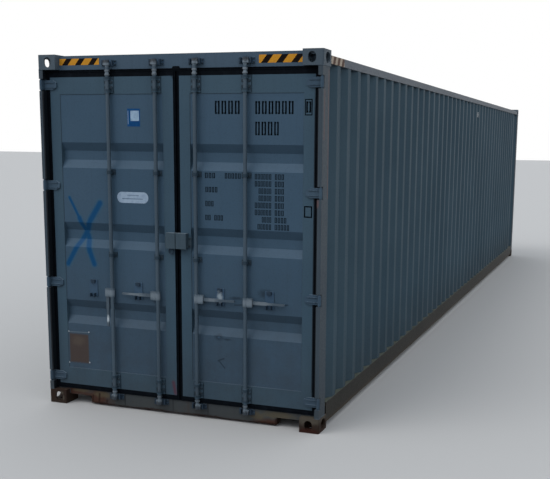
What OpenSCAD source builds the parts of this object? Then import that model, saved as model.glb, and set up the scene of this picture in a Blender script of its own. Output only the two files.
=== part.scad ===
/* [Container] */
// Length over the corner castings
container_l = 12192; // [9000:2:13716]
// Width over the corner castings
container_w = 2438; // [2400:2:2600]
// Height over the corner castings
container_h = 2896; // [2591:1:3000]

/* [Corner castings] */
// Casting size along the container
casting_l = 178; // [170:1:190]
// Casting size across the container
casting_w = 162; // [155:1:170]
// Casting height
casting_h = 118; // [112:1:124]
// Thickness of the plate that carries the load
casting_plate = 28.5; // [26:0.5:32]
// Thickness of the outer side walls
casting_wall = 15; // [12:0.5:18]
// Thickness of the walls that face the rails
casting_back = 12; // [8:0.5:14]
// Radius of the outer upright edge
casting_round = 14; // [6:1:20]
// From the end face to the centre of the top and bottom apertures
aperture_in_x = 103.5; // [95:0.5:108]
// From the side face to the centre of the top and bottom apertures
aperture_in_y = 89.5; // [80:0.5:94]
// Length of the top and bottom apertures
aperture_l = 124.5; // [110:0.5:126]
// Width of the top and bottom apertures
aperture_w = 63.5; // [60:0.5:66]
// Width of the hole in the end face
end_hole_w = 63.5; // [56:0.5:66]
// Length of the hole in the side face
side_hole_l = 101.5; // [90:0.5:104]
// Height of the end and side holes
side_hole_h = 79.5; // [72:0.5:82]

/* [Frame] */
// How far the posts and rails sit inside the casting faces
frame_inset = 3; // [2:0.5:5]
// Depth of a door post along the container
post_depth = 150; // [135:1:170]
// Width of a door post seen from the end
post_w = 38; // [34:1:44]
// Wall of the posts
post_t = 6; // [4:0.5:8]
// How far the door stop stands in behind the gasket
stop_w = 12; // [6:1:20]
// How far the header and sill sit behind the casting face
beam_face = 60; // [56:1:64]
// Plate thickness of the header, sill and end rails
beam_t = 5; // [4:0.5:8]
// Height of the sill's top above the ground
sill_top = 126; // [122:1:134]
// Height of the front sill's top above the ground
front_sill_top = 150; // [140:1:160]
// Gap from the leaves' backs to the threshold behind them
threshold_gap = 6; // [5:0.5:10]
// Clear height under the sill, rails and cross members
under_clear = 15; // [12:1:20]
// Length of the sling recess beside each casting
recess_l = 212; // [180:1:240]
// Height of the top of the sling recess
recess_top = 75; // [60:1:90]
// How far the roof lies below the casting tops
roof_drop = 8; // [6:1:12]
// Depth of the front top rail and the front sill
front_rail_w = 100; // [80:1:120]
// Width of a front post seen from the front
front_leg = 120; // [100:1:140]
// Length of a front post along the side
front_side_leg = 160; // [140:1:180]
// Depth of a front post's inner lip
front_lip = 56; // [50:1:70]

/* [Side rails] */
// Size of the square top side rail
top_rail = 60; // [50:1:70]
// Height of the underside of the top side rail below the casting tops
top_rail_drop = 96; // [90:1:110]
// Wall of the side rails
rail_t = 4; // [3:0.5:6]
// Height of the underside of the bottom side rail
bottom_rail_z = 47; // [40:1:60]
// Height of the bottom side rail
bottom_rail_h = 161; // [150:1:170]
// Flange width of the bottom side rail
bottom_rail_flange = 53; // [46:1:60]

/* [Walls and roof] */
// Thickness of the corrugated sheets
sheet_t = 2; // [1.6:0.2:4]
// Pitch of the side wall corrugation
side_pitch = 278; // [260:1:300]
// Depth of the side wall corrugation
side_depth = 36; // [30:1:40]
// Width of a side wall ridge at its face
side_ridge = 72; // [60:1:80]
// Width of a side wall slope
side_slope = 68; // [60:1:74]
// From the door end to the middle of the first side wall ridge
side_first = 395; // [380:1:400]
// How far the side wall ridges sit inside the casting faces
side_inset = 8; // [6:1:10]
// Pitch of the front wall corrugation
front_pitch = 250; // [235:1:260]
// Depth of the front wall corrugation
front_depth = 45; // [36:1:48]
// Width of a front wall ridge at its face
front_ridge = 110; // [90:1:120]
// Width of a front wall slope
front_slope = 18; // [14:1:26]
// Pitch of the roof corrugation
roof_pitch = 209; // [190:1:230]
// Depth of the roof corrugation
roof_depth = 20; // [14:1:20]
// Width of a roof ridge at its top
roof_ridge = 91; // [80:1:100]
// Width of a roof slope
roof_slope = 13.5; // [10:0.5:20]
// From the roof's side edges in to its ridges
roof_margin = 86; // [80:1:100]
// Length of a roof corner plate
roof_plate_l = 300; // [250:10:400]
// Width of a roof corner plate
roof_plate_w = 280; // [240:10:400]
// Thickness of a roof corner plate
roof_plate_t = 4; // [3:0.5:5]
// From the door end to about the middle of the side ventilators
vent_x = 7100; // [2000:10:8000]
// Length of a ventilator cover at its outer face
vent_l = 150; // [100:5:160]
// Height of a ventilator cover
vent_h = 72; // [60:1:120]
// How far a ventilator cover's face sits inside the ridges' faces
vent_in = 6; // [4:0.5:10]
// Gap from a ventilator cover's back edges to the trough's slopes
vent_gap = 2; // [1:0.5:4]
// From the top rail down to a ventilator cover
vent_drop = 114; // [20:1:160]

/* [Underframe] */
// Height of a cross member
member_h = 121; // [110:1:125]
// Flange width of a cross member
member_w = 45; // [40:1:60]
// Steel thickness of a cross member
member_t = 4; // [3:0.5:6]
// Greatest spacing of the cross members
member_pitch = 340; // [300:10:420]
// Thickness of the floor boards
floor_t = 28; // [24:1:30]
// Gap from the floor to the side sheets' inner face
floor_gap = 7; // [3:1:12]
// Length of the gooseneck tunnel
tunnel_l = 3315; // [3150:5:3500]
// Clear width of the gooseneck tunnel
tunnel_w = 1029; // [1000:1:1070]
// Thickness of the tunnel's top and side plates
tunnel_t = 4; // [3:0.5:6]

/* [Doors] */
// How far the door leaf's face sits behind the casting face
leaf_face = 50; // [48:1:54]
// Thickness of a door leaf
leaf_t = 50; // [48:1:52]
// Gap between a leaf's edge and the post
leaf_side_gap = 34; // [30:1:42]
// Gap between the two leaves
seam = 54; // [40:1:58]
// Gap between the leaves and the sill
leaf_low_gap = 42; // [36:1:46]
// Gap between the leaves and the header
leaf_high_gap = 58; // [40:1:60]
// Width of a leaf's upright frame tubes
stile_w = 90; // [80:1:100]
// Height of a leaf's bottom frame tube
low_rail_h = 142; // [120:1:150]
// Height of a leaf's top frame tube
high_rail_h = 134; // [120:1:150]
// How far the pressed panel sits behind the leaf's face
panel_step = 4; // [3:0.5:6]
// Depth of the pressed troughs in a door panel
trough_depth = 36; // [28:1:36]
// Height of a trough
trough_h = 205; // [180:1:220]
// Height of the flat bottom of a trough
trough_flat = 73; // [60:1:90]
// Height of the top edge of the upper trough
trough_top = 2203; // [2180:1:2220]
// Spacing of the troughs
trough_pitch = 651; // [640:1:660]

/* [Hinges] */
// Hinges on each leaf
hinge_count = 4; // [3:1:5]
// Height of the lowest hinge, and the highest one's drop below the casting tops
hinge_end = 236; // [225:1:260]
// From the casting's end and side faces to the hinge pin
pin_in = 14; // [13.5:0.5:15]
// Diameter of a hinge pin
pin_d = 16; // [12:1:16]
// Height of a hinge blade and its knuckle
blade_h = 76; // [60:1:80]
// Thickness of a hinge blade
blade_t = 12; // [8:1:14]
// Reach of a hinge blade from the pin
blade_reach = 128; // [115:1:150]
// Radius of a knuckle
knuckle_r = 13; // [11.5:0.5:13]
// Length over which a hinge blade narrows to its end
blade_taper = 34; // [20:1:50]
// From a hinge blade's end to its ribs
rib_start = 20; // [10:1:30]
// Clearance of a blade above and below in its notch
notch_clear = 10; // [6:1:14]
// Clearance of a knuckle and of the web behind it in the notch
notch_back = 6; // [5:1:8]
// Thickness of a hinge lug
lug_t = 12; // [8:1:16]

/* [Locking bars] */
// Diameter of a locking bar
bar_d = 30; // [26:1:32]
// From the middle of the door end to an inner locking bar
bar_inner = 172; // [165:1:185]
// From the middle of the door end to an outer locking bar
bar_outer = 593; // [560:1:620]
// From the leaf's face to a locking bar's axis
bar_out = 27; // [26:0.5:28]
// Height of the middle of the lower cams
cam_low = 102; // [96:1:108]
// Drop of the middle of the upper cams below the casting tops
cam_high_drop = 70; // [60:1:76]
// Height of a cam
cam_h = 40; // [30:1:44]
// Radius of a cam's round part
cam_r = 20; // [18:1:21]
// Reach of a cam's nose from the bar's axis
cam_nose = 30; // [26:1:31]
// Gap between a cam and its keeper's ears
keeper_gap = 8; // [5:1:12]
// Thickness of a keeper's ear
keeper_t = 10; // [8:1:14]
// Wall of the collars that hold a locking bar
collar_t = 6; // [4:0.5:8]
// Height of a collar
collar_h = 26; // [20:1:40]
// Running clearance round a locking bar and round each pin
run_clear = 0.5; // [0.2:0.1:0.8]
// Width of a bracket plate behind a locking bar
bracket_w = 78; // [66:1:90]
// Thickness of a bracket plate
bracket_t = 8; // [5:1:10]
// Length of the upper and lower brackets
bracket_l = 122; // [100:1:126]
// From the leaf's edge to its upper and lower brackets
bracket_in = 3; // [2:0.5:5]
// Length of a middle guide
guide_l = 44; // [30:1:60]
// Height of the upper guides
guide_high = 1970; // [1960:1:1975]
// Height of the lower guides
guide_low = 1300; // [1240:1:1310]

/* [Handles] */
// Height of the handles
handle_z = 988; // [980:1:1000]
// Reach of a handle from its locking bar's axis
handle_reach = 330; // [300:5:350]
// Thickness of a handle
handle_t = 10; // [8:1:12]
// Height of a handle's broad part
handle_h = 26; // [22:1:30]
// Length of a handle's broad part
grip_l = 128; // [100:1:160]
// Height of a handle's narrow part
tail_h = 17; // [14:0.5:20]
// Length over which a handle narrows
handle_neck = 20; // [10:1:40]
// Radius of a handle's eye
handle_eye_r = 16; // [13:0.5:18]
// From a locking bar's axis to its handle's pin
handle_pin_out = 45; // [42:1:50]
// Diameter of a handle's pin
handle_pin_d = 12; // [10:1:14]
// Height of a handle hub
hub_h = 70; // [60:1:80]
// Wall of a hub round its locking bar
hub_wall = 5; // [3:0.5:8]
// Thickness of a hub's cheeks
cheek_t = 6; // [4:0.5:8]
// Gap between a handle and each cheek
cheek_gap = 2; // [1:0.5:3]
// From a locking bar's axis to the middle of its handle catch
catch_out = 193; // [185:1:200]
// Width of a handle catch
catch_w = 75; // [60:1:90]
// Height of a handle catch
catch_h = 140; // [120:1:145]
// From a handle's axis down to its catch's lower edge
catch_low = 46; // [30:1:60]
// Thickness of a catch's plate
catch_t = 6; // [4:0.5:8]
// Height of the folded hasp in a catch
hasp_h = 26; // [18:1:34]
// Gap between a raised handle and the folded hasp behind it
hasp_gap = 6; // [5:0.5:8]
// Gap between a handle and the seat under it
seat_gap = 5; // [5:0.5:8]

/* [Lock box] */
// Height of the middle of the lock box
lock_z = 1443; // [1430:1:1470]
// Height of the lock box
lock_h = 124; // [100:1:130]
// Reach of the lock box onto the left leaf
lock_left = 85; // [75:1:100]
// Reach of the lock box onto the right leaf
lock_right = 92; // [80:1:105]
// Depth of the lock box
lock_d = 46; // [40:1:47]
// Plate thickness of the lock box
lock_t = 4; // [3:0.5:6]
// Gap between the two halves of the lock box
lock_gap = 6; // [6:0.5:8]
// Width of the flange beside the lock box
lock_flange_w = 28; // [20:1:35]
// From the lock box's bottom up to its flange
lock_flange_low = 10; // [0:1:30]
// From the lock box's top down to its flange
lock_flange_high = 30; // [0:1:50]

/* [Hidden] */
$fn = 48;

paint = "#54707f";
rusty = "#5a4038";
rubber = "#15181a";
steel = "#6d7c84";
timber = "#8a6b4a";

// Overlap that lets a cut pass clean through a face
eps = 1;
// Clearance of the rubber from the steel it seals on
soft_gap = 0.5;
// Room that a swinging leaf's inner back corner needs at the seam
seam_half_clear = 4.3;

half_l = container_l / 2;
half_w = container_w / 2;
frame_face = half_w - frame_inset;
post_in = frame_face - post_w;
cast_in_x = half_l - casting_l;
cast_in_y = half_w - casting_w;
roof_top = container_h - roof_drop;
header_z = container_h - casting_h;
top_rail_z = container_h - top_rail_drop;
bottom_rail_top = bottom_rail_z + bottom_rail_h;
rail_in = frame_face - bottom_rail_flange;
wall_face = half_w - side_inset;
wall_in = wall_face - side_depth - sheet_t;
member_top = under_clear + member_h;
floor_top = member_top + floor_t;
front_face = -half_l + frame_inset;

leaf_edge = post_in - leaf_side_gap;
leaf_z = [sill_top + leaf_low_gap, header_z - leaf_high_gap];
leaf_back = leaf_face + leaf_t;
panel_y = [seam / 2 + stile_w, leaf_edge - stile_w];
panel_z = [leaf_z[0] + low_rail_h, leaf_z[1] - high_rail_h];
panel_face = leaf_face + panel_step;
pin_x = half_l - pin_in;
pin_y = half_w - pin_in;
hinge_pitch = (container_h - 2 * hinge_end) / (hinge_count - 1);
hinge_zs = [for (i = [0 : hinge_count - 1]) hinge_end + i * hinge_pitch];
notch_half = blade_h / 2 + notch_clear;
notch_front = pin_in + knuckle_r + notch_back;
bar_x = half_l - leaf_face + bar_out;
bar_r = bar_d / 2;
cam_high = container_h - cam_high_drop;
handle_len = handle_reach - handle_pin_out;
handle_pin_r = handle_pin_d / 2;

// A range of depths behind the door end's casting face, as a range along the length
function deep(a, b) = [half_l - b, half_l - a];
// A closed outline for a sheet that follows a line of points, t thick in its second direction
function sheet(path, t) =
  concat(path, [for (i = [len(path) - 1 : -1 : 0]) [path[i][0], path[i][1] - t]]);

module block(x, y, z)
  translate([x[0], y[0], z[0]]) cube([x[1] - x[0], y[1] - y[0], z[1] - z[0]]);
module both_sides() {
  children();
  mirror([0, 1, 0]) children();
}
module left() mirror([0, 1, 0]) children();
module slot(l, w, h) {
  for (s = [-1, 1]) translate([s * (l - w) / 2, 0, 0]) cylinder(d = w, h = h, center = true);
  cube([l - w, w, h], center = true);
}

// One casting, drawn at the right of the door end, resting on the ground
module casting() {
  hole = [half_l - aperture_in_x, half_w - aperture_in_y, casting_h / 2];
  difference() {
    translate([cast_in_x, cast_in_y, 0]) linear_extrude(casting_h) {
      square([casting_l - casting_round, casting_w]);
      square([casting_l, casting_w - casting_round]);
      translate([casting_l - casting_round, casting_w - casting_round]) circle(casting_round);
    }
    block([cast_in_x + casting_back, half_l - casting_wall],
          [cast_in_y + casting_back, half_w - casting_wall],
          [casting_plate, casting_h - casting_back]);
    translate([hole[0], hole[1], 0]) slot(aperture_l, aperture_w, 2 * casting_plate + eps);
    translate([half_l, hole[1], hole[2]]) rotate([0, 90, 0])
      slot(side_hole_h, end_hole_w, 2 * casting_wall + eps);
    translate([hole[0], half_w, hole[2]]) rotate([90, 0, 0])
      slot(side_hole_l, side_hole_h, 2 * casting_wall + eps);
  }
}
module four_castings() {
  both_sides() {
    casting();
    mirror([1, 0, 0]) casting();
  }
}
module bottom_castings() color(rusty) four_castings();
module top_castings() color(paint)
  translate([0, 0, container_h]) mirror([0, 0, 1]) four_castings();

// A door post is a tube with a notch at each hinge and a lug above and below it
module door_post() color(paint) difference() {
  union() {
    difference() {
      block(deep(frame_inset, post_depth), [post_in, frame_face], [casting_h, header_z]);
      block(deep(frame_inset + post_t, post_depth - post_t),
            [post_in + post_t, frame_face - post_t], [casting_h - eps, header_z + eps]);
    }
    block(deep(post_depth - 2 * post_t, post_depth), [post_in - stop_w, post_in],
          [sill_top, header_z]);
    for (z = hinge_zs) block(deep(frame_inset, leaf_face + notch_back + post_t),
      [post_in, frame_face], [z - notch_half - lug_t, z + notch_half + lug_t]);
  }
  for (z = hinge_zs) {
    block(deep(-eps, notch_front), [post_in - eps, half_w + eps], [z - notch_half, z + notch_half]);
    block(deep(-eps, leaf_face + notch_back), [post_in - eps, frame_face - post_t],
          [z - notch_half, z + notch_half]);
    translate([pin_x, pin_y, z]) cylinder(d = pin_d, h = 3 * blade_h, center = true);
  }
}
module right_door_post() door_post();
module left_door_post() left() door_post();
module hinge_pins() color(steel) both_sides() for (z = hinge_zs)
  translate([pin_x, pin_y, z]) cylinder(d = pin_d, h = 2 * (notch_half + lug_t), center = true);

// A front post is a pressed angle with a lip on each leg
module front_posts() color(paint) both_sides() {
  z = [casting_h, header_z];
  block([front_face, front_face + post_t], [frame_face - front_leg, frame_face], z);
  block([front_face, front_face + front_side_leg], [frame_face - post_t, frame_face], z);
  block([front_face, front_face + front_lip],
        [frame_face - front_leg, frame_face - front_leg + post_t], z);
  block([front_face + front_side_leg - post_t, front_face + front_side_leg],
        [wall_in, frame_face], z);
}

module beam(x, y, z) difference() {
  block(x, y, z);
  block([x[0] + beam_t, x[1] - beam_t], [y[0] - eps, y[1] + eps], [z[0] + beam_t, z[1] - beam_t]);
}
module door_header() color(paint) {
  beam(deep(beam_face, post_depth), [-cast_in_y, cast_in_y], [header_z, roof_top]);
  block(deep(post_depth, casting_l), [-cast_in_y, cast_in_y], [roof_top - beam_t, roof_top]);
}
module sling_recesses(x) both_sides()
  block([x[0] - eps, x[1] + eps], [cast_in_y - recess_l, cast_in_y + eps], [0, recess_top]);
// The threshold is a pressed step behind the gaskets that rises to the floor's level
module threshold() {
  x = deep(leaf_back + threshold_gap, post_depth);
  y = [stop_w - post_in, post_in - stop_w];
  difference() {
    block(x, y, [sill_top, floor_top]);
    block([x[0] - eps, x[1] - beam_t], [y[0] - eps, y[1] + eps], [sill_top, floor_top - beam_t]);
  }
}
module door_sill() color(paint) {
  x = deep(beam_face, post_depth);
  difference() {
    beam(x, [-cast_in_y, cast_in_y], [under_clear, sill_top]);
    sling_recesses(x);
  }
  both_sides() {
    block(x, [cast_in_y - recess_l - beam_t, cast_in_y - recess_l], [under_clear, sill_top]);
    block(x, [cast_in_y - recess_l, cast_in_y], [recess_top, recess_top + beam_t]);
    block(x, [cast_in_y, post_in - stop_w], [casting_h, sill_top]);
  }
  threshold();
}
module front_top_rail() color(paint) {
  x = [front_face, front_face + front_rail_w];
  beam(x, [-cast_in_y, cast_in_y], [header_z, roof_top]);
  block([x[1], -cast_in_x], [-cast_in_y, cast_in_y], [roof_top - beam_t, roof_top]);
}
module front_sill() color(paint) {
  x = [front_face, front_face + front_rail_w];
  difference() {
    beam(x, [-cast_in_y, cast_in_y], [under_clear, front_sill_top]);
    sling_recesses(x);
    block([x[0] - eps, x[1] + eps], [-tunnel_w / 2, tunnel_w / 2], [0, member_top]);
  }
  both_sides() {
    block(x, [cast_in_y - recess_l - beam_t, cast_in_y - recess_l], [under_clear, front_sill_top]);
    block(x, [cast_in_y - recess_l, cast_in_y], [recess_top, recess_top + beam_t]);
    block(x, [tunnel_w / 2, tunnel_w / 2 + beam_t], [under_clear, front_sill_top]);
    block(x, [cast_in_y, frame_face - front_leg], [casting_h, front_sill_top]);
  }
}

module top_side_rails() color(paint) both_sides() difference() {
  x = [-cast_in_x, cast_in_x];
  block(x, [frame_face - top_rail, frame_face], [top_rail_z, top_rail_z + top_rail]);
  block([x[0] - eps, x[1] + eps], [frame_face - top_rail + rail_t, frame_face - rail_t],
        [top_rail_z + rail_t, top_rail_z + top_rail - rail_t]);
}
module bottom_side_rails() color(paint) both_sides() difference() {
  x = [-cast_in_x, cast_in_x];
  block(x, [rail_in, frame_face], [bottom_rail_z, bottom_rail_top]);
  block([x[0] - eps, x[1] + eps], [rail_in - eps, frame_face - rail_t],
        [bottom_rail_z + rail_t, bottom_rail_top - rail_t]);
}

// The side sheet's line seen from above: distance from the door end, then distance out
wall_start = post_depth;
wall_end = container_l - frame_inset - front_side_leg;
side_inner = side_pitch - side_ridge - 2 * side_slope;
side_count = floor((wall_end - side_first - side_pitch) / side_pitch) + 1;
wall_line = concat(
  [[wall_start, wall_face]],
  [for (i = [0 : side_count - 1], p = let(c = side_first + i * side_pitch - side_ridge / 2) [
      [c - side_slope - side_inner, wall_face - side_depth],
      [c - side_slope, wall_face - side_depth],
      [c, wall_face],
      [c + side_ridge, wall_face]]) p],
  [let(c = side_first + (side_count - 1) * side_pitch + side_ridge / 2)
     [c + side_slope, wall_face - side_depth],
   [wall_end - side_slope, wall_face - side_depth],
   [wall_end, wall_face]]
);
module side_wall() color(paint) difference() {
  translate([half_l, 0, bottom_rail_top]) mirror([1, 0, 0])
    linear_extrude(top_rail_z - bottom_rail_top) polygon(sheet(wall_line, sheet_t));
  for (m = [0, 1]) mirror([m, 0, 0])
    block([cast_in_x, half_l], [wall_in - eps, wall_face + eps], [header_z, top_rail_z + eps]);
}
module right_side_wall() side_wall();
module left_side_wall() left() side_wall();

// The front sheet's line seen from above: distance across, then distance along
front_sheet_x = front_face + front_lip - front_depth;
front_half = frame_face - front_leg;
front_count = floor((front_half - front_ridge / 2 - front_slope) / front_pitch);
front_line = concat(
  [[-front_half, front_sheet_x + front_depth]],
  [for (i = [-front_count : front_count], p = let(c = i * front_pitch, h = front_ridge / 2) [
      [c - h - front_slope, front_sheet_x + front_depth],
      [c - h, front_sheet_x],
      [c + h, front_sheet_x],
      [c + h + front_slope, front_sheet_x + front_depth]]) p],
  [[front_half, front_sheet_x + front_depth]]
);
module front_wall() color(paint) translate([0, 0, front_sill_top]) multmatrix([
  [0, 1, 0, 0], [1, 0, 0, 0], [0, 0, 1, 0], [0, 0, 0, 1]])
  linear_extrude(header_z - front_sill_top) polygon(sheet(front_line, sheet_t));

// The roof sheet's line seen from the side: distance along, then height
roof_low = top_rail_z + top_rail + sheet_t;
roof_count = floor((2 * cast_in_x - roof_ridge) / roof_pitch);
roof_first = -(roof_count - 1) * roof_pitch / 2;
roof_line = concat(
  [[-cast_in_x, roof_low]],
  [for (i = [0 : roof_count - 1], p = let(c = roof_first + i * roof_pitch, h = roof_ridge / 2) [
      [c - h - roof_slope, roof_low],
      [c - h, roof_low + roof_depth],
      [c + h, roof_low + roof_depth],
      [c + h + roof_slope, roof_low]]) p],
  [[cast_in_x, roof_low]]
);
roof_half = frame_face - rail_t;
ridge_half = roof_half - roof_margin;
// The ridges stop short of the rails, where their ends are closed and the sheet runs on flat
module roof_panel() color(paint) {
  translate([0, ridge_half, 0]) rotate([90, 0, 0])
    linear_extrude(2 * ridge_half) polygon(sheet(roof_line, sheet_t));
  both_sides() {
    translate([0, ridge_half, 0]) rotate([90, 0, 0]) linear_extrude(sheet_t) polygon(concat(
      roof_line, [[cast_in_x, roof_low - sheet_t], [-cast_in_x, roof_low - sheet_t]]));
    block([-cast_in_x, cast_in_x], [ridge_half - sheet_t, roof_half],
          [roof_low - sheet_t, roof_low]);
  }
}
module roof_corner_plates() color(paint) both_sides() for (m = [0, 1]) mirror([m, 0, 0])
  block([cast_in_x - roof_plate_l, cast_in_x], [ridge_half - roof_plate_w, ridge_half],
        [roof_low + roof_depth, roof_low + roof_depth + roof_plate_t]);

// A ventilator cover fills the nearest trough of the side wall almost up to the ridges' faces
vent_trough = side_first + (round((vent_x - side_first) / side_pitch - 0.5) + 0.5) * side_pitch;
module ventilators() color(steel) both_sides()
  translate([half_l - vent_trough, 0, top_rail_z - vent_drop - vent_h]) linear_extrude(vent_h)
    polygon([
      [-side_inner / 2 + vent_gap, wall_face - side_depth],
      [side_inner / 2 - vent_gap, wall_face - side_depth],
      [vent_l / 2, wall_face - vent_in], [-vent_l / 2, wall_face - vent_in]]);

floor_x = [front_face + front_rail_w, half_l - post_depth];
tunnel_end = -half_l + tunnel_l;
module floor_boards() color(timber)
  block(floor_x, [-wall_in + floor_gap, wall_in - floor_gap], [member_top, floor_top]);

// A cross member is a channel that opens towards the front
module member(x, y) difference() {
  block([x, x + member_w], y, [under_clear, member_top]);
  block([x - eps, x + member_w - member_t], [y[0] - eps, y[1] + eps],
        [under_clear + member_t, member_top - member_t]);
}
module members_between(x0, x1) {
  count = ceil((x1 - x0) / member_pitch);
  for (i = [1 : count - 1]) translate([x0 + i * (x1 - x0) / count - member_w / 2, 0, 0]) children();
}
module cross_members() color(paint) {
  member(tunnel_end, [-rail_in, rail_in]);
  members_between(tunnel_end, floor_x[1]) member(0, [-rail_in, rail_in]);
}
tunnel_side = tunnel_w / 2;
tunnel_x = [front_face + front_rail_w, tunnel_end];
module tunnel_top() color(paint)
  block([tunnel_x[0], tunnel_end], [-tunnel_side, tunnel_side], [member_top - tunnel_t, member_top]);
module tunnel_sides() color(paint) both_sides()
  block(tunnel_x, [tunnel_side, tunnel_side + tunnel_t], [under_clear, member_top]);
module tunnel_outriggers() color(paint) both_sides()
  members_between(tunnel_x[0], tunnel_end) member(0, [tunnel_side + tunnel_t, rail_in]);

// A leaf's frame is one welded ring of tube
module leaf_frame() color(paint) difference() {
  block(deep(leaf_face, leaf_back), [seam / 2, leaf_edge], leaf_z);
  block(deep(leaf_face - eps, leaf_back + eps), panel_y, panel_z);
}
// The pressed panel's line seen from the side: height, then distance along
leaf_panel_x = half_l - panel_face;
trough_slope = (trough_h - trough_flat) / 2;
trough_line = concat(
  [[panel_z[1], leaf_panel_x]],
  [for (i = [0 : 2], p = let(top = trough_top - i * trough_pitch) [
      [top, leaf_panel_x],
      [top - trough_slope, leaf_panel_x - trough_depth],
      [top - trough_slope - trough_flat, leaf_panel_x - trough_depth],
      [top - trough_h, leaf_panel_x]]) p],
  [[panel_z[0], leaf_panel_x]]
);
module leaf_panel() color(paint) translate([0, panel_y[0], 0]) multmatrix([
  [0, 1, 0, 0], [0, 0, 1, 0], [1, 0, 0, 0], [0, 0, 0, 1]])
  linear_extrude(panel_y[1] - panel_y[0]) polygon(sheet(trough_line, sheet_t));
module leaf_gasket() color(rubber) difference() {
  x = deep(panel_face, leaf_back - panel_step);
  block(x, [seam_half_clear, post_in - soft_gap], [sill_top + soft_gap, header_z - soft_gap]);
  block([x[0] - eps, x[1] + eps], [seam / 2, leaf_edge], leaf_z);
}

// A blade: the knuckle on its pin, the web that steps back, and the arm that lies on the leaf
module blade_arm() {
  tip = blade_reach - blade_taper;
  translate([half_l - leaf_face, 0, 0]) rotate([90, 0, 90]) linear_extrude(blade_t) polygon([
    [pin_y, -blade_h / 2], [pin_y, blade_h / 2],
    [pin_y - tip, blade_h / 2], [pin_y - blade_reach, blade_h / 4],
    [pin_y - blade_reach, -blade_h / 4], [pin_y - tip, -blade_h / 2]]);
}
module hinge_blade() difference() {
  rib = blade_t / 2;
  union() {
    translate([pin_x, pin_y, 0]) cylinder(r = knuckle_r, h = blade_h, center = true);
    block(deep(pin_in, leaf_face), [pin_y - knuckle_r, pin_y], [-blade_h / 2, blade_h / 2]);
    blade_arm();
    for (s = [-1, 1]) block(deep(leaf_face - blade_t - rib, leaf_face - blade_t),
                            [pin_y - blade_reach + rib_start, pin_y - knuckle_r],
                            [s * blade_h / 4 - rib / 2, s * blade_h / 4 + rib / 2]);
  }
  translate([pin_x, pin_y, 0]) cylinder(d = pin_d + 2 * run_clear, h = 2 * blade_h, center = true);
}
module leaf_hinges() color(paint) for (z = hinge_zs) translate([0, 0, z]) hinge_blade();

// A collar holds the locking bar off the plate behind it
module bar_collar(y, z, h, back) translate([bar_x, y, z]) difference() {
  r = bar_r + run_clear + collar_t;
  union() {
    cylinder(r = r, h = h, center = true);
    block([half_l - back - bar_x, 0], [-r, r], [-h / 2, h / 2]);
  }
  cylinder(r = bar_r + run_clear, h = h + eps, center = true);
}
module bar_bracket(y, z) {
  block(deep(leaf_face - bracket_t, leaf_face), [y - bracket_w / 2, y + bracket_w / 2],
        [z - bracket_l / 2, z + bracket_l / 2]);
  for (s = [-1, 1]) bar_collar(y, z + s * (bracket_l - collar_h) / 2, collar_h, leaf_face);
}
module bar_guide(y, z) {
  block(deep(panel_face - bracket_t, panel_face), [y - bracket_w / 2, y + bracket_w / 2],
        [z - guide_l / 2, z + guide_l / 2]);
  bar_collar(y, z, collar_h, panel_face);
}
module bar_brackets() color(paint) for (y = [bar_inner, bar_outer]) {
  for (z = [leaf_z[0] + bracket_l / 2 + bracket_in, leaf_z[1] - bracket_l / 2 - bracket_in])
    bar_bracket(y, z);
  for (z = [guide_low, guide_high]) bar_guide(y, z);
}
module cam_keepers() color(paint) both_sides()
  for (y = [bar_inner, bar_outer], z = [cam_low, cam_high], s = [-1, 1])
    translate([0, y + s * (cam_nose + keeper_gap + keeper_t / 2), 0])
      block(deep(leaf_face - bar_out, beam_face), [-keeper_t / 2, keeper_t / 2],
            [z - cam_h / 2, z + cam_h / 2]);

// A locking bar with its two cams and the hub that carries the handle
module cam(z) translate([bar_x, 0, z]) {
  cylinder(r = cam_r, h = cam_h, center = true);
  block([-cam_r / 2, cam_r / 2], [0, cam_nose], [-cam_h / 2, cam_h / 2]);
}
hub_r = bar_r + hub_wall;
cheek_in = handle_t / 2 + cheek_gap;
cheek_end = handle_pin_out + handle_eye_r;
module handle_hub() translate([bar_x, 0, handle_z]) {
  cylinder(r = hub_r, h = hub_h, center = true);
  for (s = [-1, 1]) {
    x = s > 0 ? [cheek_in, cheek_in + cheek_t] : [-cheek_in - cheek_t, -cheek_in];
    block(x, [0, cheek_end], [-hub_h / 2, hub_h / 2]);
  }
  translate([0, handle_pin_out, 0]) rotate([0, 90, 0])
    cylinder(d = handle_pin_d, h = 2 * (cheek_in + cheek_t), center = true);
}
module locking_bar(y) color(steel) translate([0, y, 0]) {
  translate([bar_x, 0, cam_low - cam_h / 2]) cylinder(r = bar_r, h = cam_high - cam_low + cam_h);
  for (z = [cam_low, cam_high]) cam(z);
  handle_hub();
}
// A flat forged handle, drawn level, with its eye on the hub's pin
module handle(y, hang) color(steel) translate([bar_x, y + handle_pin_out, handle_z])
  rotate([hang, 0, 0]) translate([-handle_t / 2, 0, 0]) rotate([90, 0, 90])
  linear_extrude(handle_t) difference() {
    neck = grip_l + handle_neck;
    end = handle_len - tail_h / 2;
    union() {
      circle(handle_eye_r);
      polygon([[0, -handle_h / 2], [grip_l, -handle_h / 2], [neck, -tail_h / 2], [end, -tail_h / 2],
               [end, tail_h / 2], [neck, tail_h / 2], [grip_l, handle_h / 2], [0, handle_h / 2]]);
      translate([end, 0]) circle(tail_h / 2);
    }
    circle(handle_pin_r + run_clear);
  }

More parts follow.
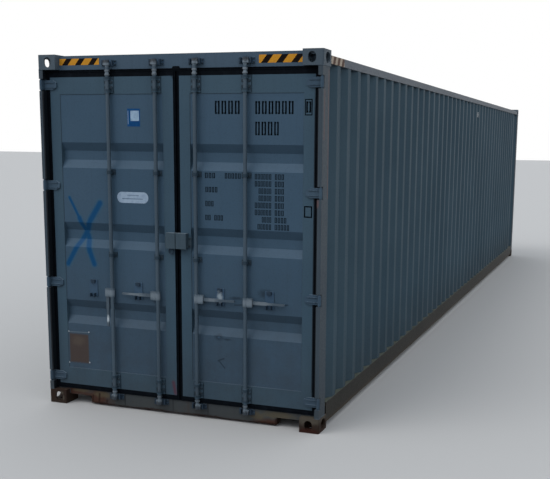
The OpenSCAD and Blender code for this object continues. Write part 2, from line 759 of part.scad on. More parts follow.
// A catch: a plate on the leaf, two legs that make the seat, and a folded hasp above
module handle_catch(y) {
  mid = y + catch_out;
  seat_z = handle_z - handle_h / 2 - seat_gap;
  low = handle_z - catch_low;
  block(deep(panel_face - catch_t, panel_face), [mid - catch_w / 2, mid + catch_w / 2],
        [low, low + catch_h]);
  for (s = [-1, 1]) block(deep(leaf_face - bar_out - handle_t / 2, panel_face - catch_t),
                          [mid + s * catch_w / 4 - catch_t / 2, mid + s * catch_w / 4 + catch_t / 2],
                          [low, seat_z]);
  block(deep(leaf_face - bar_out + handle_t / 2 + hasp_gap, panel_face - catch_t),
        [mid - catch_w / 4, mid + catch_w / 4], [low + catch_h - hasp_h, low + catch_h]);
}
module handle_catches() color(steel) for (y = [bar_inner, bar_outer]) handle_catch(y);

// Half of the lock box, open below and towards the seam, with a flange on the leaf
module lock_half(reach) difference() {
  x = deep(leaf_face - lock_d, leaf_face);
  z = [lock_z - lock_h / 2, lock_z + lock_h / 2];
  union() {
    block(x, [lock_gap / 2, reach], z);
    block(deep(leaf_face - lock_t, leaf_face), [reach, reach + lock_flange_w],
          [z[0] + lock_flange_low, z[1] - lock_flange_high]);
  }
  block([x[0] + lock_t, x[1] - lock_t], [0, reach - lock_t], [z[0] - eps, z[1] - lock_t]);
}
module right_lock_half() color(paint) lock_half(lock_right);
module left_lock_half() color(paint) left() lock_half(lock_left);

module right_door_frame() leaf_frame();
module left_door_frame() left() leaf_frame();
module right_door_panel() leaf_panel();
module left_door_panel() left() leaf_panel();
module right_door_gasket() leaf_gasket();
module left_door_gasket() left() leaf_gasket();
module right_door_hinges() leaf_hinges();
module left_door_hinges() left() leaf_hinges();
module right_bar_brackets() bar_brackets();
module left_bar_brackets() left() bar_brackets();
module right_handle_catches() handle_catches();
module left_handle_catches() left() handle_catches();
module right_inner_bar() locking_bar(bar_inner);
module right_outer_bar() locking_bar(bar_outer);
module left_inner_bar() left() locking_bar(bar_inner);
module left_outer_bar() left() locking_bar(bar_outer);
module right_inner_handle() handle(bar_inner, 0);
module right_outer_handle() handle(bar_outer, 0);
module left_inner_handle() left() handle(bar_inner, 0);
module left_outer_handle() left() handle(bar_outer, -90);

top_castings();
bottom_castings();
left_door_post();
right_door_post();
front_posts();
door_header();
door_sill();
front_top_rail();
front_sill();
top_side_rails();
bottom_side_rails();
left_side_wall();
right_side_wall();
front_wall();
roof_panel();
roof_corner_plates();
ventilators();
floor_boards();
cross_members();
tunnel_top();
tunnel_sides();
tunnel_outriggers();
hinge_pins();
cam_keepers();
left_door_frame();
left_door_panel();
left_door_gasket();
left_door_hinges();
left_bar_brackets();
left_handle_catches();
left_lock_half();
right_door_frame();
right_door_panel();
right_door_gasket();
right_door_hinges();
right_bar_brackets();
right_handle_catches();
right_lock_half();
left_outer_bar();
left_inner_bar();
right_inner_bar();
right_outer_bar();
left_outer_handle();
left_inner_handle();
right_inner_handle();
right_outer_handle();
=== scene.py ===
# %% [markdown]
# # A high-cube shipping container
#
# The real object is a welded steel box, 12.2 m long, that ships, trains and trucks carry by its
# eight corner castings. The CAD model already holds every part with a real size. This script
# loads it as a fixed frame, gives each part its finish, and adds the small things that a CAD
# model leaves out: bolts, rubber lips, weld beads, painted marks and rust.

# %% Load the frame
import math

import bmesh
import bpy
from mathutils import Matrix, Vector


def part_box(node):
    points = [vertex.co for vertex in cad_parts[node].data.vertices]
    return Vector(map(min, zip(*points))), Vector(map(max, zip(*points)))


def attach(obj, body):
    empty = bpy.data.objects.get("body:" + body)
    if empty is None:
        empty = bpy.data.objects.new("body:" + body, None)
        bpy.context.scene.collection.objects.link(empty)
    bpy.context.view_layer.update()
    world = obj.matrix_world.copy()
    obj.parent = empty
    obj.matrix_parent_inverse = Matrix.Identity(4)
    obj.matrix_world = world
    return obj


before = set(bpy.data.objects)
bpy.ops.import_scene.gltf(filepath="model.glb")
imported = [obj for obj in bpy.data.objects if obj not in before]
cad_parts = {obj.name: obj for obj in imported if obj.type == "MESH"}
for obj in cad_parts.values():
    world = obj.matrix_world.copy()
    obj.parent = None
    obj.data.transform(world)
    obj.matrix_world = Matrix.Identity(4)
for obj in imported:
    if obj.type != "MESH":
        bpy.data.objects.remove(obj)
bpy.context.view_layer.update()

# %% [markdown]
# ## Sizes that the pieces share
#
# The frame is in metres: +X runs out through the doors, +Y is to the right of someone who
# faces them, and +Z is up. A piece that sits on a CAD part asks that part for its place, so it
# lies exactly on the steel.

# %% Places taken from the CAD parts
leaf_low, leaf_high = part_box("right_door_frame")
panel_low, panel_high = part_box("right_door_panel")
gasket_low, gasket_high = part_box("right_door_gasket")
post_low, post_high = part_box("right_door_post")
post_in = post_low[1] + 0.012
door_face_x, panel_face_x = leaf_high[0], panel_high[0]
header_face_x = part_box("door_header")[1][0]
sill_face_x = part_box("door_sill")[1][0]
side_face_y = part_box("top_side_rails")[1][1]
bar_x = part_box("right_inner_bar")[0][0] + 0.020

# Sides of the middle, the bars' distances from it, and heights that pieces and paint share
sides = (("left", -1), ("right", 1))
bar_places = (0.172, 0.593)
bar_ys = (-0.593, -0.172, 0.172, 0.593)
low_cam_z, high_cam_z, hub_z = 0.098, 2.826, 0.988
guide_heights = (1.300, 1.970)
bracket_ends = (2.706, 2.612, 0.278, 0.190)
print(f"door face x {door_face_x:.3f}, panel face x {panel_face_x:.3f}, "
      f"header face x {header_face_x:.3f}, bar axis x {bar_x:.3f}")

# %% [markdown]
# ## The camera
#
# The picture was taken from a little above eye height, to the right of the doors, so both the
# door end and the long side show. A camera is a position, three directions and a lens. Here the
# directions are built from a heading, a pitch and a small roll, and the shift moves the frame
# over the picture plane without changing the perspective.

# %% Make the camera
picture_w, picture_h = 550, 479
focal_px = 898.38
centre_px = (309.02, 292.89)
camera_at = Vector((12.41216, 3.33668, 2.22799))
heading, pitch, roll = -0.33655, -0.16652, 0.01125

forward = Vector((-math.cos(heading) * math.cos(pitch), math.sin(heading) * math.cos(pitch),
                  math.sin(pitch)))
level_right = forward.cross(Vector((0, 0, 1))).normalized()
level_up = level_right.cross(forward)
right = level_right * math.cos(roll) + level_up * math.sin(roll)
up = level_up * math.cos(roll) - level_right * math.sin(roll)

lens = bpy.data.cameras.new("camera")
lens.sensor_width = 36
lens.lens = focal_px / picture_w * lens.sensor_width
lens.shift_x = (picture_w / 2 - centre_px[0]) / picture_w
lens.shift_y = (centre_px[1] - picture_h / 2) / picture_w
lens.clip_end = 200
camera = bpy.data.objects.new("camera", lens)
camera.matrix_world = Matrix.Translation(camera_at) @ Matrix(
    (right, up, -forward)).transposed().to_4x4()
bpy.context.scene.collection.objects.link(camera)
bpy.context.scene.camera = camera
print(f"lens {lens.lens:.1f} mm, shift {lens.shift_x:.3f}, {lens.shift_y:.3f}")

# %% [markdown]
# ## Helpers for materials
#
# Hex colours are written in sRGB, the way a paint chart or a picture gives them, but the
# renderer counts in linear light, so one function turns them. A second one adds a node to a
# material with its settings, input values and links in one call, which keeps a long node tree
# readable as text.

# %% Colour and node helpers
def linear(hex_colour):
    """An sRGB hex colour as linear red, green, blue and alpha."""
    channels = [int(hex_colour[i:i + 2], 16) / 255 for i in (1, 3, 5)]
    return [c / 12.92 if c <= 0.04045 else ((c + 0.055) / 1.055) ** 2.4 for c in channels] + [1]


def add(tree, kind, values=None, links=None, **settings):
    """A new node with its settings, input values and incoming links. A link comes from a
    socket, or from a node's first output."""
    made = tree.nodes.new(kind)
    for name, value in settings.items():
        setattr(made, name, value)
    for name, value in (values or {}).items():
        made.inputs[name].default_value = value
    for name, source in (links or {}).items():
        socket = source if isinstance(source, bpy.types.NodeSocket) else source.outputs[0]
        tree.links.new(socket, made.inputs[name])
    return made


def new_material(name, specular=0.12):
    """An empty material: its node tree, its shader and the object's own coordinates."""
    material = bpy.data.materials.new(name)
    material.use_nodes = True
    tree = material.node_tree
    tree.nodes.clear()
    shader = add(tree, "ShaderNodeBsdfPrincipled", {"Specular IOR Level": specular})
    add(tree, "ShaderNodeOutputMaterial", links={"Surface": shader})
    place = add(tree, "ShaderNodeTexCoord").outputs["Object"]
    return material, tree, shader, place


def waves(millimetres):
    """The noise scale that makes spots of about this size."""
    return 1000 / millimetres


# %% [markdown]
# ## Marks that have a place
#
# Noise spreads wear evenly, but much of what the eye catches on a container sits in one spot: a
# sprayed cross, a scuff beside a handle, a rust streak under a hinge. Such a mark is a distance
# turned into a mask. For a patch it is the distance to a centre, measured in half widths, and
# for a stroke the distance to a line between two points. A size of nought in one direction
# makes the mask ignore that direction. Noise bends the edge, so no mark looks cut out.

# %% Masks for patches and strokes
def patch(tree, place, centre, half, soft=0.3, ragged=0.3, grain_mm=40, square=False):
    """A mask that is 1 inside a round or square patch and fades out at its edge."""
    scale = [1 / h if h else 0 for h in half]
    shift = [-c * s for c, s in zip(centre, scale)]
    local = add(tree, "ShaderNodeMapping", {"Location": shift, "Scale": scale}, {"Vector": place})
    if square:
        size = add(tree, "ShaderNodeVectorMath", links={0: local}, operation="ABSOLUTE")
        parts = add(tree, "ShaderNodeSeparateXYZ", links={0: size})
        far = add(tree, "ShaderNodeMath", links={0: parts, 1: parts.outputs[1]},
                  operation="MAXIMUM")
        far = add(tree, "ShaderNodeMath", links={0: far, 1: parts.outputs[2]}, operation="MAXIMUM")
    else:
        far = add(tree, "ShaderNodeVectorMath", links={0: local},
                  operation="LENGTH").outputs["Value"]
    edge = add(tree, "ShaderNodeTexNoise", {"Scale": waves(grain_mm), "Detail": 4,
                                            "Roughness": 0.7}, {"Vector": place})
    bent = add(tree, "ShaderNodeMath", {1: 2 * ragged, 2: -ragged}, {0: edge},
               operation="MULTIPLY_ADD")
    reach = add(tree, "ShaderNodeMath", links={0: far, 1: bent}, operation="ADD")
    return add(tree, "ShaderNodeMapRange", {1: 1.0, 2: 1.0 - soft, 3: 0.0, 4: 1.0}, {0: reach})


def stroke(tree, place, start, end, width, soft=0.5):
    """A mask along a line between two points that share a nought where depth doesn't count."""
    start, end = Vector(start), Vector(end)
    along = end - start
    seen = [1.0 if a or b else 0.0 for a, b in zip(start, end)]
    flat = add(tree, "ShaderNodeVectorMath", {1: seen}, {0: place}, operation="MULTIPLY")
    offset = add(tree, "ShaderNodeVectorMath", {1: start}, {0: flat}, operation="SUBTRACT")
    run = add(tree, "ShaderNodeVectorMath", {1: along / along.length_squared},
              {0: offset}, operation="DOT_PRODUCT")
    part = add(tree, "ShaderNodeClamp", links={0: run.outputs["Value"]})
    foot = add(tree, "ShaderNodeVectorMath", {0: along}, {"Scale": part}, operation="SCALE")
    away = add(tree, "ShaderNodeVectorMath", links={0: offset, 1: foot}, operation="DISTANCE")
    return add(tree, "ShaderNodeMapRange", {1: width * 0.5, 2: width * 0.5 * (1 - soft), 3: 0.0,
                                            4: 1.0}, {0: away.outputs["Value"]})


def strongest(tree, masks):
    """One mask that is as strong as the strongest of several."""
    mask = masks[0]
    for other in masks[1:]:
        mask = add(tree, "ShaderNodeMath", links={0: mask, 1: other}, operation="MAXIMUM")
    return mask


def paint_over(tree, shader, masks, colour, strength=1.0):
    """Mixes one more colour over what the shader has so far, where any of the masks is."""
    share = add(tree, "ShaderNodeMath", {1: strength}, {0: strongest(tree, masks)},
                operation="MULTIPLY")
    under = shader.inputs["Base Color"].links[0].from_socket
    mixed = add(tree, "ShaderNodeMix", {7: linear(colour)}, {0: share, 6: under}, data_type="RGBA")
    tree.links.new(mixed.outputs[2], shader.inputs["Base Color"])


# %% [markdown]
# ## Weathered container paint
#
# A container gets a grey-blue acrylic marine paint, sprayed on primed steel. After years
# outdoors it goes chalky and matt, rain draws long pale and dark runs down it, grit chips it to
# rust, and what faces up is lighter, partly from dust and partly as painted top light. Each of
# these is one layer here: a noise pattern cut to a mask, which mixes a colour over the ones
# below. Noise scale is the number of waves in a metre, so a real size in millimetres gives the
# scale directly. Matt paint reflects less than the clear plastic that the shader starts from, so
# its specular level is low.

# %% Build a paint finish
def weathered_paint(name, base, chalk, rust=0.3, soil=0.5, soil_top=0.5, gloss=0.52,
                    dust_and_top_light="#5a6470", dust_and_top_light_share=0.5, runs_strength=0.2, specular=0.12):
    """Grey-blue marine paint on steel. rust is the share of chipped spots, soil the strength of
    the dirt low down, up to soil_top metres above the ground. The up-facing tone and its share
    lighten what faces up, as dust and painted top light together."""
    material, tree, shader, place = new_material(name, specular)

    # Broad, soft patches where the paint has gone chalky, about 900 mm across
    cloud = add(tree, "ShaderNodeTexNoise", {"Scale": waves(900), "Detail": 4, "Roughness": 0.6},
                {"Vector": place})
    cloudy = add(tree, "ShaderNodeMapRange", {1: 0.38, 2: 0.66, 3: 0.0, 4: 0.75}, {0: cloud})
    colour = add(tree, "ShaderNodeMix", {6: linear(base), 7: linear(chalk)},
                 {0: cloudy}, data_type="RGBA").outputs[2]

    # Rain runs: 45 mm wide and about 1.5 m long
    tall = add(tree, "ShaderNodeMapping", {"Scale": (1, 1, 0.03)}, {"Vector": place})
    runs = add(tree, "ShaderNodeTexNoise", {"Scale": waves(45), "Detail": 5, "Roughness": 0.65},
               {"Vector": tall})
    pale = add(tree, "ShaderNodeMapRange", {1: 0.5, 2: 0.8, 3: 0.0, 4: runs_strength}, {0: runs})
    colour = add(tree, "ShaderNodeMix", {7: linear(chalk)}, {0: pale, 6: colour},
                 data_type="RGBA").outputs[2]
    dark = add(tree, "ShaderNodeMapRange", {1: 0.48, 2: 0.2, 3: 0.0, 4: runs_strength}, {0: runs})
    colour = add(tree, "ShaderNodeMix", {7: linear("#1c2731")}, {0: dark, 6: colour},
                 data_type="RGBA").outputs[2]

    # Fine grime in spots of about 12 mm
    grime = add(tree, "ShaderNodeTexNoise", {"Scale": waves(12), "Detail": 3, "Roughness": 0.7},
                {"Vector": place})
    specks = add(tree, "ShaderNodeMapRange", {1: 0.52, 2: 0.8, 3: 0.0, 4: 0.35}, {0: grime})
    colour = add(tree, "ShaderNodeMix", {7: linear("#242e38")}, {0: specks, 6: colour},
                 data_type="RGBA").outputs[2]

    # What faces up is made lighter: partly dust, partly painted top light
    facing = add(tree, "ShaderNodeSeparateXYZ",
                 links={0: add(tree, "ShaderNodeNewGeometry").outputs["Normal"]})
    flat = add(tree, "ShaderNodeMapRange", {1: 0.45, 2: 0.95, 3: 0.0, 4: dust_and_top_light_share},
               {0: facing.outputs[2]})
    colour = add(tree, "ShaderNodeMix", {7: linear(dust_and_top_light)}, {0: flat, 6: colour},
                 data_type="RGBA").outputs[2]

    # Soil splashed up from the ground, broken by noise of about 150 mm
    height = add(tree, "ShaderNodeSeparateXYZ", links={0: place})
    splash = add(tree, "ShaderNodeTexNoise", {"Scale": waves(150), "Detail": 6, "Roughness": 0.7},
                 {"Vector": place})
    low = add(tree, "ShaderNodeMapRange", {1: soil_top, 2: 0.0, 3: 0.0, 4: 1.0},
              {0: height.outputs[2]})
    patchy = add(tree, "ShaderNodeMapRange", {1: 0.3, 2: 0.7, 3: 0.25, 4: soil}, {0: splash})
    soiled = add(tree, "ShaderNodeMath", links={0: low, 1: patchy}, operation="MULTIPLY")
    colour = add(tree, "ShaderNodeMix", {7: linear("#2e2a24")},
                 {0: soiled, 6: colour}, data_type="RGBA").outputs[2]

    # Rust: chips of about 25 mm in loose groups, and the runs that they leave below them
    group = add(tree, "ShaderNodeTexNoise", {"Scale": waves(700), "Detail": 3, "Roughness": 0.6},
                {"Vector": place})
    where = add(tree, "ShaderNodeMapRange", {1: 0.7 - 0.2 * rust, 2: 0.8 - 0.2 * rust, 3: 0.0,
                                             4: 1.0}, {0: group})
    chip = add(tree, "ShaderNodeTexNoise", {"Scale": waves(25), "Detail": 6, "Roughness": 0.75},
               {"Vector": place})
    chipped = add(tree, "ShaderNodeMapRange", {1: 0.62, 2: 0.66, 3: 0.0, 4: 1.0}, {0: chip})
    rust_run = add(tree, "ShaderNodeMapRange", {1: 0.58, 2: 0.75, 3: 0.0, 4: 0.45}, {0: runs})
    both = add(tree, "ShaderNodeMath", links={0: chipped, 1: rust_run}, operation="MAXIMUM")
    rusty = add(tree, "ShaderNodeMath", links={0: both, 1: where}, operation="MULTIPLY")
    rust_tone = add(tree, "ShaderNodeMix", {6: linear("#24150f"), 7: linear("#4f2d1e")},
                    {0: grime}, data_type="RGBA").outputs[2]
    colour = add(tree, "ShaderNodeMix", links={0: rusty, 6: colour, 7: rust_tone},
                 data_type="RGBA").outputs[2]
    tree.links.new(colour, shader.inputs["Base Color"])

    # Chalky paint is matt, rust and soil more so
    rough = add(tree, "ShaderNodeMapRange", {1: 0.3, 2: 0.75, 3: gloss - 0.08, 4: gloss + 0.14},
                {0: grime})
    rougher = add(tree, "ShaderNodeMix", {3: 0.9}, {0: rusty, 2: rough}, data_type="FLOAT")
    tree.links.new(rougher.outputs[0], shader.inputs["Roughness"])

    # Sheet steel is never quite flat: shallow dents about 600 mm across, and a fine spray texture
    dents = add(tree, "ShaderNodeTexNoise", {"Scale": waves(600), "Detail": 2}, {"Vector": place})
    deep = add(tree, "ShaderNodeBump", {"Strength": 0.25, "Distance": 0.02}, {"Height": dents})
    fine = add(tree, "ShaderNodeBump", {"Strength": 0.25, "Distance": 0.0006},
               {"Height": grime, "Normal": deep})
    tree.links.new(fine.outputs[0], shader.inputs["Normal"])
    return material, tree, shader, place


# %% [markdown]
# ## The painted parts
#
# All steel of the box has one paint, yet no two parts look alike: the doors have kept their
# blue, the posts and the side have gone greyer, the top rail is bleached, and what is near the
# ground is brown with soil. So the same finish is built a few times with its own numbers.

# %% Paint the walls, the roof and the rails
def give(material, *names):
    """Puts one material on CAD parts."""
    for name in names:
        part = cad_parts[name]
        part.data.materials.clear()
        part.data.materials.append(material)


side_paint, tree, shader, place = weathered_paint(
    "side_marine_paint", "#374852", "#3f505a", rust=0.25, soil=0.5, soil_top=0.7,
    runs_strength=0.14, specular=0.04)
leak = [stroke(tree, place, (5.93, 0, 2.70), (5.915, 0, 2.15), 0.05),
        stroke(tree, place, (5.915, 0, 2.15), (5.925, 0, 1.80), 0.03)]
paint_over(tree, shader, leak, "#54423f", 0.55)
give(side_paint, "left_side_wall", "right_side_wall", "front_wall")

rail_paint = weathered_paint("bleached_rail_paint", "#52585f", "#5d636a", rust=0.3, soil=0.0,
                             dust_and_top_light="#74777c")[0]
give(rail_paint, "top_side_rails")

roof_paint = weathered_paint("roof_marine_paint", "#414d55", "#566068", rust=0.6, soil=0.0)[0]
give(roof_paint, "roof_panel", "roof_corner_plates")

header_paint, tree, shader, place = weathered_paint(
    "header_marine_paint", "#3a4b5a", "#40505e", rust=0.15, soil=0.0)
# Dark round the top cams: grease, and painted shade between the cams and their keepers
grease_and_shade = [patch(tree, place, (0, y, high_cam_z), (0, 0.075, 0.036), 0.6, 0.35, 20) for y in bar_ys]
paint_over(tree, shader, grease_and_shade, "#18222c", 0.75)
# Painted shadow: a dark band along the header's top edge, where the gap under the roof shades it
roof_gap_shadow = patch(tree, place, (0, 0, 2.893), (0, 1.3, 0.011), 0.5, 0.5, 60, True)
paint_over(tree, shader, [roof_gap_shadow], "#202c36", 0.7)
give(header_paint, "door_header", "front_top_rail")

under_paint = weathered_paint("underframe_marine_paint", "#2b2d2e", "#3a3b39", rust=0.9,
                              soil=0.9, soil_top=0.32)[0]
give(under_paint, "cross_members", "tunnel_top", "tunnel_sides", "tunnel_outriggers")

# %% [markdown]
# ## Posts, sill and bottom rails
#
# The inner faces of the posts, in the deep reveal beside the doors, are painted near black:
# painted shade, with some black that the door rubber rubs off. A face is told by its normal:
# where the normal lies along Y and the place is inboard of the post's outer face, the mask is 1.
# Strips along the inner edges of the posts' front faces get the same painted shade. The sill and
# the bottom rails stand in spray and mud, so their lower edges and their ends by the castings
# have gone to rust.

# %% Paint the posts
post_paint, tree, shader, place = weathered_paint(
    "post_marine_paint", "#353f47", "#3f484f", rust=0.4, soil=0.5, soil_top=0.4, runs_strength=0.3)
# Painted shade: the inner faces of the posts, in the reveal beside the doors, go near black
normal = add(tree, "ShaderNodeSeparateXYZ",
             links={0: add(tree, "ShaderNodeNewGeometry").outputs["Normal"]})
spot = add(tree, "ShaderNodeSeparateXYZ", links={0: place})
across = add(tree, "ShaderNodeMath", links={0: normal.outputs[1]}, operation="ABSOLUTE")
sideways = add(tree, "ShaderNodeMapRange", {1: 0.5, 2: 0.8}, {0: across})
reach = add(tree, "ShaderNodeMath", links={0: spot.outputs[1]}, operation="ABSOLUTE")
inboard = add(tree, "ShaderNodeMapRange", {1: 1.203, 2: 1.195}, {0: reach})
at_door = add(tree, "ShaderNodeMapRange", {1: 5.90, 2: 5.92}, {0: spot})
inner = add(tree, "ShaderNodeMath", links={0: sideways, 1: inboard}, operation="MULTIPLY")
inner = add(tree, "ShaderNodeMath", links={0: inner, 1: at_door}, operation="MULTIPLY")
# Painted shade: near-black strips along the inner edges of the posts' front faces, with rubber
# marks
rubbed_and_shaded_edges = [patch(tree, place, (0, y, 1.45), (0, wide, 1.33), 0.15, 0.06, 60, True)
          for y, wide in ((-1.172, 0.020), (1.176, 0.008))]
paint_over(tree, shader, [inner, *rubbed_and_shaded_edges], "#0a0e13", 0.93)
leak = [stroke(tree, place, (5.952, 0, 2.74), (5.948, 0, 1.82), 0.045),
        stroke(tree, place, (6.05, 0, 2.60), (6.055, 0, 2.25), 0.03),
        patch(tree, place, (6.09, 1.186, 1.775), (0.03, 0.014, 0.045), 0.6, 0.5, 20)]
on_right = add(tree, "ShaderNodeMapRange", {1: 0.0, 2: 0.1}, {0: spot.outputs[1]})
streaks = add(tree, "ShaderNodeMath", links={0: strongest(tree, leak), 1: on_right},
              operation="MULTIPLY")
paint_over(tree, shader, [streaks], "#5e4644", 0.6)
give(post_paint, "left_door_post", "right_door_post", "front_posts")

# %% Paint the sill and the bottom rails
sill_paint, tree, shader, place = weathered_paint(
    "sill_marine_paint", "#363a3d", "#404342", rust=0.7, soil=0.35, soil_top=0.16, dust_and_top_light="#3a3b3b")
brown = [patch(tree, place, (0, y, z), (0, wide, tall), 0.6, 0.5, 55)
         for y, z, wide, tall in ((-0.80, 0.06, 0.20, 0.10), (0.80, 0.02, 0.20, 0.05),
                                  (-1.00, 0.10, 0.16, 0.05))]
paint_over(tree, shader, brown, "#3a2116", 0.85)
cream = [patch(tree, place, (0, y, z), (0, wide, tall), 0.5, 0.6, 45)
         for y, z, wide, tall in ((-0.74, 0.095, 0.10, 0.035), (0.86, 0.095, 0.17, 0.04),
                                  (-0.95, 0.115, 0.10, 0.02), (0.68, 0.07, 0.07, 0.04))]
paint_over(tree, shader, cream, "#4d4535", 0.7)
burnt = [patch(tree, place, (0, y, 0.012), (0, wide, 0.022), 0.5, 0.6, 40)
         for y, wide in ((-0.74, 0.22), (0.74, 0.20), (0.2, 0.25), (-0.25, 0.2))]
burnt += [stroke(tree, place, (0, y, 0.02), (0, y + 0.006, z), 0.028, 0.9)
          for y, z in ((-0.772, 0.10), (-0.835, 0.08), (-0.70, 0.05), (0.835, 0.06))]
burnt.append(stroke(tree, place, (0, -0.93, 0.014), (0, 0.93, 0.014), 0.022, 0.6))
paint_over(tree, shader, burnt, "#1c0b06", 0.9)
# Dark round the low cams: grease, and painted shade between the cams and their keepers
grease_and_shade = [patch(tree, place, (0, y, low_cam_z), (0, 0.070, 0.034), 0.6, 0.35, 20) for y in bar_ys]
paint_over(tree, shader, grease_and_shade, "#14171b", 0.7)
seams = [stroke(tree, place, (0, y, 0.02), (0, y, 0.13), 0.012) for y in (-0.069, 0.248, -0.52)]
paint_over(tree, shader, seams, "#15171a", 0.75)
give(sill_paint, "door_sill", "front_sill")

low_paint, tree, shader, place = weathered_paint(
    "bottom_rail_marine_paint", "#21201c", "#2a2823", rust=0.8, soil=0.6, soil_top=0.2,
    dust_and_top_light="#54584f", dust_and_top_light_share=0.9)
edge = [patch(tree, place, (0, side * 1.216, 0.052), (0, 0.02, 0.018), 0.5, 0.8, 120, True)
        for side in (-1, 1)]
paint_over(tree, shader, edge, "#3c3022", 0.6)
give(low_paint, "bottom_side_rails")

# %% [markdown]
# ## The doors
#
# Each leaf carries what happened to it. The left panel was crossed with a can of blue spray
# paint, and a plate that was riveted on low down has left a brown square of old glue. On the
# right panel hands and hooks have left dark smudges low down, and dark patches lie by the
# catches; two dark lines beside the handles, at hub height, are painted shadows of the handles.
# All of this is laid over the same paint finish as masks, in the plane of the doors, so it runs
# on over the pressed troughs as real spray does.

# %% Paint the left leaf
door_blue, door_chalk = "#354a5b", "#3b4f60"
# The pale blue tone on the leaves' up-facing faces is painted top light as well as dust
door_wear_and_top_light = {"gloss": 0.48, "dust_and_top_light": "#6a7d8d", "runs_strength": 0.12}
left_panel_paint, tree, shader, place = weathered_paint(
    "left_door_marine_paint", door_blue, door_chalk, rust=0.15, soil=0.55, soil_top=1.5,
    **door_wear_and_top_light)
left_arm = ((-0.997, 1.755), (-0.907, 1.589), (-0.848, 1.444), (-0.816, 1.312), (-0.777, 1.212))
right_arm = ((-0.708, 1.715), (-0.802, 1.575), (-0.858, 1.476), (-0.938, 1.352), (-1.030, 1.203))
mist, core = [], []
for arm, widths in ((left_arm, (0.030, 0.052, 0.062, 0.058)),
                    (right_arm, (0.064, 0.058, 0.058, 0.054))):
    for (y0, z0), (y1, z1), width in zip(arm, arm[1:], widths):
        mist.append(stroke(tree, place, (0, y0, z0), (0, y1, z1), width * 1.5, 0.95))
        core.append(stroke(tree, place, (0, y0, z0), (0, y1, z1), width, 0.55))
paint_over(tree, shader, mist, "#10506c", 0.6)
paint_over(tree, shader, core, "#003a60", 0.92)
glue = patch(tree, place, (0, -0.948, 0.482), (0, 0.098, 0.132), 0.12, 0.06, 25, True)
paint_over(tree, shader, [glue], "#3f342f", 0.92)
pale_glue = patch(tree, place, (0, -0.955, 0.545), (0, 0.080, 0.055), 0.6, 0.35, 60)
paint_over(tree, shader, [pale_glue], "#4f463e", 0.5)
plate_edge = stroke(tree, place, (0, -1.045, 0.619), (0, -0.850, 0.625), 0.010)
paint_over(tree, shader, [plate_edge], "#56616a", 0.8)
give(left_panel_paint, "left_door_panel")

# %% Paint the right leaf
right_panel_paint, tree, shader, place = weathered_paint(
    "right_door_marine_paint", door_blue, door_chalk, rust=0.15, soil=0.55, soil_top=1.5,
    **door_wear_and_top_light)
# Dark smudges low down from hands and hooks, and dark patches by the catches
smudges_and_shadows = [patch(tree, place, (0, y, z), (0, wide * 1.6, tall * 1.5), 0.7, 0.5, 18)
           for y, z, wide, tall in ((0.352, 0.684, 0.030, 0.022), (0.425, 0.672, 0.030, 0.009),
                                    (0.748, 1.062, 0.050, 0.030), (0.502, 1.010, 0.045, 0.012))]
# Of these strokes, the two low down are smudges; the two at hub height, right of the handles, are
# painted shadows of the handles
smudges_and_shadows += [stroke(tree, place, (0, y0, z0), (0, y1, z1), width)
            for y0, z0, y1, z1, width in ((0.350, 0.494, 0.402, 0.437, 0.014),
                                          (0.344, 0.492, 0.394, 0.514, 0.016),
                                          (0.76, 0.972, 0.935, 0.985, 0.016),
                                          (0.49, 0.955, 0.60, 0.965, 0.014))]
paint_over(tree, shader, smudges_and_shadows, "#1c2833", 0.7)
clear = patch(tree, place, (0, 0.352, 0.684), (0, 0.016, 0.010), 0.5, 0.3, 20)
paint_over(tree, shader, [clear], door_blue, 0.8)
give(right_panel_paint, "right_door_panel")

# %% Paint the leaf frames and hinges
leaf_paint, tree, shader, place = weathered_paint(
    "door_frame_marine_paint", "#344856", "#3b4f5c", rust=0.2, soil=0.5, soil_top=0.9, **door_wear_and_top_light)
# Painted shade: a near-black strip along the right leaf's hinge-side edge, in the gap beside the
# post
edge = patch(tree, place, (0, 1.143, 1.45), (0, 0.007, 1.30), 0.2, 0.1, 80, True)
paint_over(tree, shader, [edge], "#0b1118", 0.85)
red_run = stroke(tree, place, (0, -0.057, 0.275), (0, -0.040, 0.185), 0.045, 0.9)
paint_over(tree, shader, [red_run], "#4e2430", 0.7)
# Painted shadows: dark outlines round the bar brackets' plates, and a short dark stroke near the
# top of the seam
shadow_outlines = [patch(tree, place, (0, y, z), (0, 0.048, 0.070), 0.1, 0.05, 30, True)
            for y in bar_ys for z in (0.232, 2.656)]
shadow_outlines.append(stroke(tree, place, (0, -0.040, 2.728), (0, -0.014, 2.690), 0.022))
paint_over(tree, shader, shadow_outlines, "#141d26", 0.6)
give(leaf_paint, "left_door_frame", "right_door_frame")

# The lock box's up-facing faces are pale: dust and painted top light together
lock_paint = weathered_paint("lock_box_marine_paint", "#38464f", "#43515b", rust=0.3, soil=0.0,
                             dust_and_top_light="#707b83", dust_and_top_light_share=0.8)[0]
give(lock_paint, "left_lock_half", "right_lock_half")

hinge_paint = weathered_paint("hinge_marine_paint", "#304252", "#41525f", rust=0.3, soil=0.4,
                              soil_top=0.5, dust_and_top_light="#6b7985", dust_and_top_light_share=0.8)[0]
give(hinge_paint, "left_door_hinges", "right_door_hinges", "hinge_pins")

# %% [markdown]
# ## The locking gear
#
# The gear is galvanised forged steel that was painted with the doors. Where it is gripped or
# slides, the paint is gone and the bare metal is bright: at the cams, at the hubs and on the
# grips. A round patch at each of these places, broken by noise, mixes the worn metal in, pale
# enough to stand for its glint as well, a painted highlight. Dark beside the bright metal, at the
# cams and the brackets' ends, lie old grease and painted shade between the cams and keepers.

# %% Paint the gear
def worn_metal_and_glint(tree, shader, place, spots, colour="#6a747c", strength=0.6):
    """Bare bright metal showing through the paint at some places on the gear, also a painted
    highlight.
    """
    masks = [patch(tree, place, centre, half, 0.7, 0.55, 22) for centre, half in spots]
    paint_over(tree, shader, masks, colour, strength)


